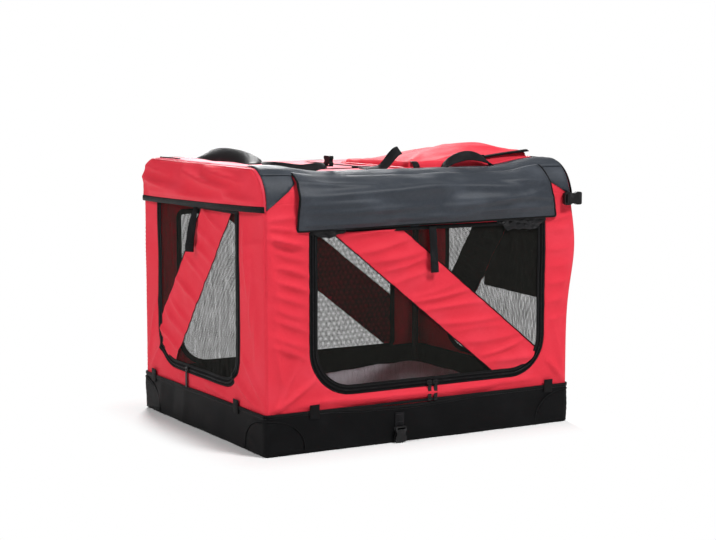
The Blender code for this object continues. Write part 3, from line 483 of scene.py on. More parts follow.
@dataclass(frozen=True)
class ZipTape(Finish):
    """Knitted zip tape: fine cords along it and a brushed face."""

    colour: Colour = (0.004, 0.004, 0.0045)
    rubbed: Colour = (0.012, 0.012, 0.013)

    def look(self, graph: Graph) -> dict:
        """Wire up the finish and give the inputs of its shader.

        Args:
            graph: The material's nodes.

        Returns:
            The inputs.
        """
        place = graph.cloth_place()
        along, across, _ = graph.parts(place)
        cords = (across * (2 * math.pi / 0.0011)).sine()
        stitch = (along * (2 * math.pi / 0.0014) + cords).sine()
        patch = graph.noise(place, (0.02, 0.006), 3.0)
        return {
            "Base Color": graph.mixed(patch.ramp(0.4, 0.8) * 0.6, self.colour, self.rubbed),
            "Roughness": 0.66 + (patch - 0.5) * 0.2,
            "Normal": graph.bump(cords * 0.06 + stitch * 0.04 + patch * 0.15),
            "Specular IOR Level": 0.06,
        }


@dataclass(frozen=True)
class Fleece(Finish):
    """Short grey fleece: soft tufts, with painted shade that darkens the hollows between them."""

    pile: Colour = (0.9, 0.86, 0.93)
    shaded_hollow: Colour = (0.66, 0.62, 0.7)

    def look(self, graph: Graph) -> dict:
        """Wire up the finish and give the inputs of its shader.

        Args:
            graph: The material's nodes.

        Returns:
            The inputs.
        """
        place = graph.solid_place()
        tuft = graph.noise(place, (0.0045, 0.0045, 0.0045), 4.0)
        brushed = graph.noise(place, (0.05, 0.03, 0.03), 2.0)
        hair = graph.noise(place, (0.0011, 0.0011, 0.0011), 2.0)
        # Where the tuft bump dips, the darker colour is mixed in: painted shade between the tufts.
        share = tuft.ramp(0.3, 0.62) * 0.75 + brushed * 0.25
        return {
            "Base Color": graph.mixed(share, self.shaded_hollow, self.pile),
            "Roughness": 0.92 + (tuft - 0.5) * 0.1,
            "Normal": graph.bump(tuft * 1.6 + hair * 0.4),
            "Specular IOR Level": 0.1,
            "Sheen Weight": 0.3,
            "Sheen Roughness": 0.6,
        }


@dataclass(frozen=True)
class Moulded(Finish):
    """Moulded nylon: a fine spark-eroded grain with rubbed high spots."""

    colour: Colour = (0.007, 0.007, 0.0075)
    rubbed: Colour = (0.03, 0.03, 0.032)
    roughness: float = 0.42

    def look(self, graph: Graph) -> dict:
        """Wire up the finish and give the inputs of its shader.

        Args:
            graph: The material's nodes.

        Returns:
            The inputs.
        """
        place = graph.solid_place()
        grain = graph.noise(place, (0.0008, 0.0008, 0.0008), 3.0)
        rub = graph.noise(place, (0.012, 0.012, 0.012), 3.0)
        return {
            "Base Color": graph.mixed(rub.ramp(0.52, 0.8), self.colour, self.rubbed),
            "Roughness": self.roughness + (rub - 0.5) * 0.25,
            "Normal": graph.bump(grain * 0.06),
            "Specular IOR Level": 0.25,
        }


@dataclass(frozen=True)
class Coated(Finish):
    """Powder-coated steel tube: faint orange peel, with bare scuffs."""

    colour: Colour = (0.022, 0.022, 0.024)
    scuff: Colour = (0.2, 0.2, 0.21)

    def look(self, graph: Graph) -> dict:
        """Wire up the finish and give the inputs of its shader.

        Args:
            graph: The material's nodes.

        Returns:
            The inputs.
        """
        place = graph.solid_place()
        peel = graph.noise(place, (0.0022, 0.0022, 0.0022), 2.0)
        rub = graph.noise(place, (0.006, 0.006, 0.03), 4.0)
        bare = rub.ramp(0.66, 0.74)
        return {
            "Base Color": graph.mixed(bare, self.colour, self.scuff),
            "Roughness": 0.34 + (peel - 0.5) * 0.1 + bare * 0.1,
            "Metallic": bare * 0.8,
            "Normal": graph.bump(peel * 0.05),
        }


@dataclass(frozen=True)
class Thread(Finish):
    """Sewing thread: glossy twisted polyester."""

    colour: Colour = (0.02, 0.02, 0.02)

    def look(self, graph: Graph) -> dict:
        """Wire up the finish and give the inputs of its shader.

        Args:
            graph: The material's nodes.

        Returns:
            The inputs.
        """
        place = graph.solid_place()
        fibre = graph.noise(place, (0.0006, 0.0006, 0.0006), 1.0)
        return {
            "Base Color": graph.mixed(fibre, self.colour, tuple(c * 1.6 for c in self.colour)),
            "Roughness": 0.45 + (fibre - 0.5) * 0.2,
            "Normal": graph.bump(fibre * 0.05),
        }


class Paint(Enum):
    """The finishes of the crate."""

    RED = Fabric("red_polyester", "red_fabric", (0.735, 0.034, 0.057), (0.8, 0.058, 0.09), 0.62)
    # A paler, pinker copy of the red polyester for the roof and hatch: painted highlight for the stronger
    # light and grazing sheen on the top.
    ROOF_RED = Fabric(
        "painted_lit_red_roof_polyester", "red_fabric", (0.82, 0.1, 0.15), (0.88, 0.18, 0.24), 0.62, specular=0.18
    )
    CHARCOAL = Fabric(
        "charcoal_polyester", "charcoal_fabric", (0.031, 0.037, 0.047), (0.07, 0.08, 0.098), 0.5,
        specular=0.25,
    )
    BLACK = Fabric(
        "black_polyester", "black_fabric", (0.004, 0.0041, 0.0045), (0.0095, 0.0097, 0.011), 0.52,
        specular=0.07,
    )
    CRINKLED = Fabric(
        "black_lining", "black_fabric", (0.005, 0.005, 0.006), (0.02, 0.02, 0.022), 0.46, specular=0.22
    )
    NET = Netting("black_netting", "black_net")
    END_NET = Netting("black_end_netting", "black_net", level=-0.3, uneven=3.2, streak=(0.0105, 0.04))
    WEBBING = Webbing("black_webbing_weave", "black_webbing")
    BINDING = Webbing("black_binding", "black_webbing", (0.004, 0.004, 0.0045), (0.011, 0.011, 0.012), 0.0011)
    TAPE = ZipTape("black_zip_tape", "black_webbing")
    FLEECE = Fleece("grey_fleece_pile", "grey_fleece")
    PLASTIC = Moulded("black_nylon", "black_plastic")
    TEETH = Moulded("black_zip_coil", "black_plastic", (0.009, 0.009, 0.01), (0.035, 0.035, 0.037), 0.35)
    STEEL = Coated("black_tube_coat", "black_tube")
    BLACK_THREAD = Thread("black_thread", "black_webbing", (0.008, 0.008, 0.009))
    RED_THREAD = Thread("red_thread", "red_fabric", (0.5, 0.022, 0.045))

    @property
    def material(self) -> bpy.types.Material:
        """The finish's material, made when it is first used."""
        return bpy.data.materials.get(self.value.name) or self.value.make()


# Folds of the crate


@dataclass(frozen=True)
class Folding:
    """Settings for how a soft piece is to flatten as the frame folds."""

    anchor: float
    keep: float
    outward: Flat = (0.0, 0.0)
    lean: float = 0.12

    def apply(self, piece: Object) -> None:
        """Give a piece a mesh of its own; the piece is not flattened here.

        Args:
            piece: The piece.
        """
        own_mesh(piece)


class Folds(Enum):
    """Settings for the ways in which soft pieces flatten."""

    FRONT = Folding(BOX.floor, 0.118, (0.0, -1.0))
    REAR = Folding(BOX.floor, 0.118, (0.0, 1.0))
    LEFT = Folding(BOX.floor, 0.118, (-1.0, 0.0))
    RIGHT = Folding(BOX.floor, 0.118, (1.0, 0.0))
    FOOT = Folding(BOX.floor, 0.118)
    MAT = Folding(BOX.floor, 0.7)
    FRONT_COVER = Folding(0.565, 0.2, (0.0, -1.0), -0.75)
    REAR_COVER = Folding(0.565, 0.2, (0.0, 1.0), -0.75)
    LEFT_COVER = Folding(0.5765, 0.2, (-1.0, 0.0), -0.75)
    RIGHT_COVER = Folding(0.5765, 0.12, (1.0, 0.0), -0.2)
    PATCH = Folding(0.58, 0.84)


@dataclass(frozen=True)
class Role:
    """What a piece belongs to."""

    body: str
    stands_for: tuple[str, ...] = ()
    folds: Folds | None = None


def dress(piece: Object, paint: Paint, role: Role) -> Object:
    """Give a piece its finish and body, hide the parts that it stands for, and give it a mesh of its own if
    it has a fold.

    Args:
        piece: The piece, in place.
        paint: Its finish.
        role: What it belongs to.

    Returns:
        The piece.
    """
    piece.data.materials.clear()
    piece.data.materials.append(paint.material)
    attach(piece, role.body)
    if role.stands_for:
        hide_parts(*role.stands_for)
    if role.folds:
        role.folds.value.apply(piece)
    LOG.info("%s: %d faces", piece.name, len(piece.data.polygons))
    return piece


# Relief: the folds and creases of cloth


@dataclass(frozen=True)
class Crease:
    """One fold of the cloth, from start to end in its flat pattern."""

    start: Flat
    end: Flat
    width: float
    height: float
    bow: float = 0.0
    sharp: float = 0.8

    def lift(self, flat: Array) -> Array:
        """How far this crease pushes the cloth out.

        Args:
            flat: Places in the pattern.

        Returns:
            The push at each place.
        """
        start = np.array(self.start)
        run = np.array(self.end) - start
        length = float(np.hypot(*run))
        along = run / length
        offset = flat - start
        share = offset @ along / length
        aside = offset[:, 0] * -along[1] + offset[:, 1] * along[0]
        inside = np.clip(share, 0, 1)
        aside = aside - self.bow * 4 * inside * (1 - inside)
        past = np.maximum(np.maximum(-share, share - 1), 0) * length
        profile = np.exp(-((np.abs(aside) / self.width) ** (2 * self.sharp)))
        taper = np.sin(math.pi * np.clip(inside * 0.9 + 0.05, 0, 1)) ** 0.6
        return self.height * profile * taper * np.exp(-((past / self.width) ** 2))


@dataclass(frozen=True)
class Relief:
    """All that pushes a cloth out of its flat: a swell, creases and ripples."""

    creases: tuple[Crease, ...] = ()
    ripple: float = 0.0
    ripple_size: Flat = (0.06, 0.06)
    seed: int = 1
    calm: Four | None = None
    calm_width: float = 0.012
    swell: Callable[[Array], Array] | None = None

    def lift(self, flat: Array) -> Array:
        """The push at each place.

        Args:
            flat: Places in the pattern.

        Returns:
            The push, outwards.
        """
        total = np.zeros(len(flat))
        for crease in self.creases:
            total += crease.lift(flat)
        if self.ripple:
            total += self.ripple * waves(flat / np.array(self.ripple_size), self.seed)
        if self.calm:
            a0, a1, b0, b1 = self.calm
            a, b = flat.T
            near = np.minimum(np.minimum(a - a0, a1 - a), np.minimum(b - b0, b1 - b))
            total *= smooth(near / self.calm_width)
        if self.swell:
            total += self.swell(flat)
        return total


def waves(spots: Array, seed: int, count: int = 14) -> Array:
    """Smooth random height, the same for the same seed.

    Args:
        spots: Places, in feature sizes.
        seed: Chooses the pattern.
        count: How many waves it is made of.

    Returns:
        Heights of about -1 to 1.
    """
    random = np.random.default_rng(seed)
    total = np.zeros(len(spots))
    for _ in range(count):
        turn, phase = random.uniform(0, 2 * math.pi, 2)
        pace = 2 * math.pi * random.uniform(0.35, 1.1)
        total += np.sin(pace * (spots @ np.array([math.cos(turn), math.sin(turn)])) + phase)
    return total / math.sqrt(count)


def puckers(
    start: Flat, end: Flat, reach: float, count: int, height: float, seed: int, lean: float = 0.0
) -> tuple[Crease, ...]:
    """Short creases that cross a seam.

    Args:
        start: One end of the seam.
        end: Its other end.
        reach: How far they run from the seam.
        count: How many there are.
        height: Height of the strongest.
        seed: Chooses their places.
        lean: How far they slant along the seam.

    Returns:
        The creases.
    """
    random = np.random.default_rng(seed)
    first, last = np.array(start), np.array(end)
    along = (last - first) / np.linalg.norm(last - first)
    square = np.array([-along[1], along[0]])
    made = []
    for share in (np.arange(count) + random.uniform(0.2, 0.8, count)) / count:
        foot = first + (last - first) * share
        long = reach * random.uniform(0.5, 1.0)
        tip = foot + square * long + along * long * (lean + random.uniform(-0.25, 0.25))
        size = height * random.uniform(0.35, 1.0)
        made.append(Crease(tuple(foot), tuple(tip), abs(reach) * random.uniform(0.07, 0.14), size))
    return tuple(made)


def across_brace(
    start: Flat, end: Flat, width: float, slope: float, count: int, height: float, seed: int
) -> tuple[Crease, ...]:
    """Folds that cross a slanting brace from edge to edge.

    Args:
        start: Upper end of the brace's middle line.
        end: Its lower end.
        width: Width of the brace.
        slope: Rise of the folds.
        count: How many folds there are.
        height: Height of the strongest.
        seed: Chooses their places.

    Returns:
        The creases.
    """
    random = np.random.default_rng(seed)
    first, run = np.array(start), np.array(end) - np.array(start)
    unit = run / np.linalg.norm(run)
    made = []
    for share in (np.arange(count) + random.uniform(0.25, 0.75, count)) / count:
        middle = first + run * share
        lie = np.array([1.0, slope + random.uniform(-0.12, 0.12)])
        lie /= np.linalg.norm(lie)
        half = width / 2 / abs(unit[0] * lie[1] - unit[1] * lie[0]) * random.uniform(0.8, 1.0)
        size = height * random.uniform(0.5, 1.0)
        bow = random.uniform(-0.006, 0.006)
        wide = random.uniform(0.0055, 0.01)
        made.append(Crease(tuple(middle - lie * half), tuple(middle + lie * half), wide, size, bow))
    return tuple(made)


def fold_row(
    first: tuple[Flat, Flat], last: tuple[Flat, Flat], count: int, width: float, height: float, seed: int
) -> tuple[Crease, ...]:
    """A row of folds that goes evenly from one to another.

    Args:
        first: Start and end of the first fold.
        last: Start and end of the last fold.
        count: How many folds there are.
        width: Width of one.
        height: Height of the strongest.
        seed: Chooses how they vary.

    Returns:
        The creases.
    """
    random = np.random.default_rng(seed)
    made = []
    for share in np.linspace(0, 1, count):
        start, end = (np.array(a) + (np.array(b) - np.array(a)) * share for a, b in zip(first, last))
        shift = np.array([random.uniform(-0.004, 0.004), random.uniform(-0.005, 0.005)])
        reach = random.uniform(0.7, 1.0)
        tip = start + (end - start) * reach
        wide = width * random.uniform(0.8, 1.25)
        size = height * random.uniform(0.55, 1.0)
        bow = random.uniform(-0.003, 0.003)
        made.append(Crease(tuple(start + shift), tuple(tip + shift), wide, size, bow, 0.6))
    return tuple(made)


# Sides of the crate


class Side(ABC):
    """Where a flat pattern lies on the crate."""

    def __init__(self, out: int, relief: Relief = Relief()) -> None:
        """Keep which way the side faces and its folds."""
        self.out = out
        self.relief = relief

    @property
    def folds(self) -> Folds:
        """How what is sewn to the side flattens."""
        return Folds.FOOT

    @abstractmethod
    def lay(self, flat: Array, lift: Array) -> Array:
        """Places in the crate of flat places, pushed out by lift."""

    def place(self, flat: Iterable[Flat], lift: Array | float = 0.0) -> Array:
        """Lay flat places on the side, folds included.

        Args:
            flat: Places in the pattern.
            lift: Extra push outwards.

        Returns:
            Places in the crate.
        """
        spots = np.asarray(flat, float).reshape(-1, 2)
        return self.lay(spots, self.relief.lift(spots) + lift)


class LongSide(Side):
    """Front or rear: the pattern's second length runs up and over to the roof."""

    @property
    def folds(self) -> Folds:
        """How what is sewn to the side flattens."""
        return Folds.FRONT if self.out < 0 else Folds.REAR

    def lay(self, flat: Array, lift: Array) -> Array:
        """Places in the crate of (x, length up the side).

        Args:
            flat: Places in the pattern.
            lift: Push outwards.

        Returns:
            Places in the crate.
        """
        x, up = flat.T
        angle = np.clip((up - BOX.shoulder) / BOX.top_radius, 0, math.pi / 2)
        beyond = np.maximum(up - BOX.shoulder - BOX.arc, 0)
        level = np.minimum(up, BOX.shoulder) + BOX.top_radius * np.sin(angle)
        reach = BOX.centre + BOX.top_radius * np.cos(angle) - beyond
        depth = lift - BOX.turned(BOX.half_length - np.abs(x))
        share = np.clip((level - BOX.shoulder) / BOX.top_radius, 0, 1)
        height = level + depth * np.sin(angle) - BOX.sag(x) * share
        y = self.out * (reach + depth * np.cos(angle))
        return np.stack([x + BOX.belly(x, y, height), y, height], axis=1)


class EndSide(Side):
    """Left or right end: the pattern is (y, z)."""

    @property
    def folds(self) -> Folds:
        """How what is sewn to the side flattens."""
        return Folds.LEFT if self.out < 0 else Folds.RIGHT

    def lay(self, flat: Array, lift: Array) -> Array:
        """Places in the crate of (y, z).

        Args:
            flat: Places in the pattern.
            lift: Push outwards.

        Returns:
            Places in the crate.
        """
        y, z = flat.T
        over = np.hypot(np.maximum(np.abs(y) - BOX.centre, 0), np.maximum(z - BOX.shoulder, 0))
        round_inset = BOX.top_radius - over
        inset = np.minimum(BOX.half_depth - np.abs(y), BOX.height - z)
        in_corner = (np.abs(y) > BOX.centre) & (z > BOX.shoulder)
        depth = lift - BOX.turned(np.where(in_corner, round_inset, inset))
        x = self.out * (BOX.half_length + depth)
        return np.stack([x + BOX.belly(x, y, z), y, z], axis=1)


class RoofSide(Side):
    """The roof: the pattern is (x, y)."""

    def lay(self, flat: Array, lift: Array) -> Array:
        """Places in the crate of (x, y).

        Args:
            flat: Places in the pattern.
            lift: Push outwards.

        Returns:
            Places in the crate.
        """
        x, y = flat.T
        depth = lift - BOX.turned(BOX.half_length - np.abs(x))
        return np.stack([x, y, BOX.height - BOX.sag(x) + depth], axis=1)


class LevelSide(Side):
    """A level sheet at one height: the pattern is (x, y)."""

    def __init__(self, height: float, relief: Relief = Relief()) -> None:
        """Keep the height."""
        super().__init__(1, relief)
        self.height = height

    def lay(self, flat: Array, lift: Array) -> Array:
        """Places in the crate of (x, y)."""
        x, y = flat.T
        return np.stack([x, y, self.height + lift], axis=1)


class Loop(Side):
    """An upright band round the foot: the pattern is (length round it, height)."""

    def __init__(self, half_x: float, half_y: float, radius: float, relief: Relief = Relief()) -> None:
        """Keep the rounded rectangle that the band follows, from the left front corner.

        Args:
            half_x: Half its length.
            half_y: Half its depth.
            radius: Radius of its corners.
            relief: Its folds.
        """
        super().__init__(1, relief)
        self.half_x, self.half_y, self.radius = half_x, half_y, radius
        self.long, self.short = 2 * (half_x - radius), 2 * (half_y - radius)
        self.turn = radius * math.pi / 2
        self.length = 2 * (self.long + self.short + 2 * self.turn)

    def lay(self, flat: Array, lift: Array) -> Array:
        """Places in the crate of (length round, z), from the left front corner's end.

        Args:
            flat: Places in the pattern.
            lift: Push outwards.

        Returns:
            Places in the crate.
        """
        s = np.mod(flat[:, 0], self.length)
        inner_x, inner_y = self.half_x - self.radius, self.half_y - self.radius
        runs = (
            (self.long, (-inner_x, -inner_y), 0.0),
            (self.short, (inner_x, -inner_y), 90.0),
            (self.long, (inner_x, inner_y), 180.0),
            (self.short, (-inner_x, inner_y), 270.0),
        )
        x, y = np.zeros(len(s)), np.zeros(len(s))
        start = 0.0
        for run, (cx, cy), heading in runs:
            ahead = np.array([math.cos(math.radians(heading)), math.sin(math.radians(heading))])
            outward = np.array([ahead[1], -ahead[0]])
            gone = s - start
            straight = (gone >= 0) & (gone < run)
            reach = self.radius + lift
            x = np.where(straight, cx + ahead[0] * gone + outward[0] * reach, x)
            y = np.where(straight, cy + ahead[1] * gone + outward[1] * reach, y)
            bend = (gone >= run) & (gone < run + self.turn)
            angle = math.radians(heading - 90) + (gone - run) / self.radius
            corner = np.array([cx, cy]) + ahead * run
            x = np.where(bend, corner[0] + np.cos(angle) * reach, x)
            y = np.where(bend, corner[1] + np.sin(angle) * reach, y)
            start += run + self.turn
        return np.stack([x, y, flat[:, 1]], axis=1)

    def front(self, x: float) -> float:
        """Length round the band at a place on the front."""
        return x + self.half_x - self.radius

    def left(self, y: float) -> float:
        """Length round the band at a place on the left end."""
        return self.length - self.turn - (y + self.half_y - self.radius)

    def right(self, y: float) -> float:
        """Length round the band at a place on the right end."""
        return self.long + self.turn + (y + self.half_y - self.radius)

    def rear(self, x: float) -> float:
        """Length round the band at a place on the rear."""
        return self.long + 2 * self.turn + self.short + (self.half_x - self.radius - x)


# Flat patterns


def rounded(
    points: Sequence[Flat], radii: Sequence[float], closed: bool = True, steps: int = 8
) -> list[Flat]:
    """A line through points with its corners rounded.

    Args:
        points: The corners.
        radii: One radius for each corner.
        closed: Whether the last point joins the first.
        steps: Points on each round.

    Returns:
        The line.
    """
    line: list[Flat] = []
    count = len(points)
    for index, (point, radius) in enumerate(zip(points, radii)):
        at_end = not closed and index in (0, count - 1)
        if at_end or radius <= 0:
            line.append(tuple(point))
            continue
        here = Vector(point)
        back = (Vector(points[index - 1]) - here).normalized()
        on = (Vector(points[(index + 1) % count]) - here).normalized()
        half = back.angle(on) / 2
        middle = here + (back + on).normalized() * (radius / math.sin(half))
        first = here + back * (radius / math.tan(half)) - middle
        last = here + on * (radius / math.tan(half)) - middle
        sweep = first.angle_signed(last)
        for step in range(steps + 1):
            turn = sweep * step / steps
            cosine, sine = math.cos(turn), math.sin(turn)
            spoke = Vector((first.x * cosine + first.y * sine, first.y * cosine - first.x * sine))
            line.append(tuple(middle + spoke))
    return line


def rectangle(edges: Sequence[float], radii: Sequence[float] = (0, 0, 0, 0), grow: float = 0.0) -> list[Flat]:
    """A rectangle with rounded corners.

    Args:
        edges: Its left, right, lower and upper edges.
        radii: Radii from the lower left, anticlockwise.
        grow: How far it is grown on all sides.

    Returns:
        Its outline.
    """
    a0, a1, b0, b1 = edges[0] - grow, edges[1] + grow, edges[2] - grow, edges[3] + grow
    corners = [(a0, b0), (a1, b0), (a1, b1), (a0, b1)]
    return rounded(corners, [max(r + grow, 0) if r > 0 else 0 for r in radii])


def spaced(line: Sequence[Flat], step: float, closed: bool) -> Array:
    """The line with points no further apart than step, its own points kept.

    Args:
        line: Points of the line.
        step: Longest gap between points.
        closed: Whether the line closes.

    Returns:
        The points.
    """
    ends = list(line) + ([line[0]] if closed else [])
    made = []
    for first, last in zip(ends, ends[1:]):
        first, last = np.array(first, float), np.array(last, float)
        count = max(1, math.ceil(np.linalg.norm(last - first) / step - 1e-6))
        made.extend(first + (last - first) * i / count for i in range(count))
    if not closed:
        made.append(np.array(ends[-1], float))
    kept = [made[0]]
    for point in made[1:]:
        if np.linalg.norm(point - kept[-1]) > 1e-5:
            kept.append(point)
    if closed and np.linalg.norm(kept[0] - kept[-1]) < 1e-5:
        kept.pop()
    return np.array(kept)


def within(spots: Array, outline: Array) -> Array:
    """Which spots lie inside an outline.

    Args:
        spots: Places in the pattern.
        outline: Corners of the outline.

    Returns:
        True for each spot inside.
    """
    x, y = spots[:, :1], spots[:, 1:]
    x0, y0 = outline[:, 0], outline[:, 1]
    x1, y1 = np.roll(x0, -1), np.roll(y0, -1)
    rise = np.where(y1 == y0, 1e-12, y1 - y0)
    crossed = ((y0 > y) != (y1 > y)) & (x < (x1 - x0) * (y - y0) / rise + x0)
    return crossed.sum(axis=1) % 2 == 1


def clipped(shape: Sequence[Flat], limit: Sequence[Flat]) -> list[Flat]:
    """The part of a shape inside a convex limit that runs anticlockwise.

    Args:
        shape: Corners of the shape.
        limit: Corners of the limit.

    Returns:
        Its corners.
    """
    points = [np.array(point, float) for point in shape]
    for start, end in zip(limit, list(limit[1:]) + [limit[0]]):
        start, end = np.array(start), np.array(end)
        if np.linalg.norm(end - start) < 1e-9:
            continue
        edge = end - start

        def inside(point: Array) -> float:
            """How far a point lies to the left of the edge."""
            return edge[0] * (point[1] - start[1]) - edge[1] * (point[0] - start[0])

        kept = []
        for first, last in zip(points, points[1:] + points[:1]):
            a, b = inside(first), inside(last)
            if a >= 0:
                kept.append(first)
            if (a > 0 > b) or (a < 0 < b):
                kept.append(first + (last - first) * a / (a - b))
        points = kept
    return [tuple(point) for point in points]


@dataclass
class Pattern:
    """A piece of cloth as it is cut: an outline, holes, and how finely it is meshed."""

    outline: list[Flat]
    holes: list[list[Flat]] = field(default_factory=list)
    step: float = 0.007

    def mesh(self) -> tuple[Array, Array]:
        """Mesh the pattern.

        Returns:
            Its points and its triangles.
        """
        loops = [spaced(line, self.step, True) for line in (self.outline, *self.holes)]
        border = np.concatenate(loops)
        low, high = border.min(axis=0), border.max(axis=0)
        rows = []
        for index, b in enumerate(np.arange(low[1] + self.step / 2, high[1], self.step * 0.866)):
            a = np.arange(low[0] + self.step * (0.25 + 0.5 * (index % 2)), high[0], self.step)
            rows.append(np.stack([a, np.full(len(a), b)], axis=1))
        inner = np.concatenate(rows) if rows else np.zeros((0, 2))
        keep = within(inner, loops[0])
        for hole in loops[1:]:
            keep &= ~within(inner, hole)
        inner = inner[keep]
        if len(inner):
            far = np.full(len(inner), np.inf)
            for chunk in np.array_split(border, max(1, len(border) // 200)):
                gap = np.linalg.norm(inner[:, None] - chunk[None], axis=2).min(axis=1)
                far = np.minimum(far, gap)
            inner = inner[far > self.step * 0.55]
        points = np.concatenate([border, inner])
        edges, start = [], 0
        for loop in loops:
            edges += [(start + i, start + (i + 1) % len(loop)) for i in range(len(loop))]
            start += len(loop)
        made = delaunay_2d_cdt([Vector(point) for point in points], edges, [], 0, 1e-7)
        spots = np.array([tuple(vertex) for vertex in made[0]])
        faces = np.array([face for face in made[2] if len(face) == 3])
        middles = spots[faces].mean(axis=1)
        keep = within(middles, loops[0])
        for hole in loops[1:]:
            keep &= ~within(middles, hole)
        return spots, faces[keep]

    def size(self) -> tuple[Flat, float]:
        """The smallest rectangle it is cut from, and its area.

        Returns:
            Width and length, and the area.
        """
        spots = np.array(self.outline)
        wide, long = spots.max(axis=0) - spots.min(axis=0)

        def area(line: Sequence[Flat]) -> float:
            """Area of one outline."""
            a, b = np.array(line).T
            return abs(float(np.dot(a, np.roll(b, -1)) - np.dot(b, np.roll(a, -1)))) / 2

        return (float(wide), float(long)), area(self.outline) - sum(area(hole) for hole in self.holes)


# Making meshes


def add_mesh(
    name: str, points: Array, faces: Sequence[Sequence[int]], uvs: Array, smooth_faces: bool = True
) -> Object:
    """Add an object.

    Args:
        name: The piece's name.
        points: Its points in the crate.
        faces: Its faces.
        uvs: One flat place for each point, or one for each corner of each face.
        smooth_faces: Whether it is shaded smooth.

    Returns:
        The object.
    """
    mesh = bpy.data.meshes.new(name)
    mesh.from_pydata([tuple(point) for point in points], [], [tuple(int(i) for i in face) for face in faces])
    layer = mesh.uv_layers.new(name="UVMap")
    corners = np.zeros(len(mesh.loops), np.int32)
    mesh.loops.foreach_get("vertex_index", corners)
    places = uvs[corners] if len(uvs) == len(points) else uvs
    layer.data.foreach_set("uv", np.asarray(places, np.float32).ravel())
    if smooth_faces:
        mesh.shade_smooth()
    mesh.update()
    made = bpy.data.objects.new(name, mesh)
    bpy.context.scene.collection.objects.link(made)
    return made


def ring_faces(rows: int, count: int) -> list[tuple[int, ...]]:
    """Faces between rows of points that each run round a loop.

    Args:
        rows: How many rows there are.
        count: Points in each row.

    Returns:
        The faces.
    """
    faces = []
    for start in range(0, (rows - 1) * count, count):
        for i in range(count):
            j = (i + 1) % count
            faces.append((start + i, start + j, start + count + j, start + count + i))
    return faces


def rim_of(across: int, along: int) -> list[int]:
    """The points round the edge of a grid, in order.

    Args:
        across: How many rows the grid has.
        along: Points in each row.

    Returns:
        Their numbers.
    """
    rim = [(i, 0) for i in range(across)] + [(across - 1, j) for j in range(1, along)]
    rim += [(i, along - 1) for i in range(across - 2, -1, -1)] + [(0, j) for j in range(along - 2, 0, -1)]
    return [i * along + j for i, j in rim]


def thicken(piece: Object, thickness: float) -> Object:
    """Give a sheet its thickness on the inner side.

    Args:
        piece: The piece.
        thickness: Thickness of the cloth.

    Returns:
        The piece.
    """
    solid = piece.modifiers.new("thickness", "SOLIDIFY")
    solid.thickness = thickness
    solid.offset = -1
    return piece


def soften(piece: Object, width: float, segments: int = 2) -> Object:
    """Break the hard edges of a moulded part.

    Args:
        piece: The piece.
        width: Width of the broken edge.
        segments: Faces across it.

    Returns:
        The piece.
    """
    bevel = piece.modifiers.new("edges", "BEVEL")
    bevel.width = width
    bevel.segments = segments
    bevel.limit_method = "ANGLE"
    bevel.angle_limit = math.radians(35)
    bevel.harden_normals = True
    piece.data.shade_smooth()
    return piece


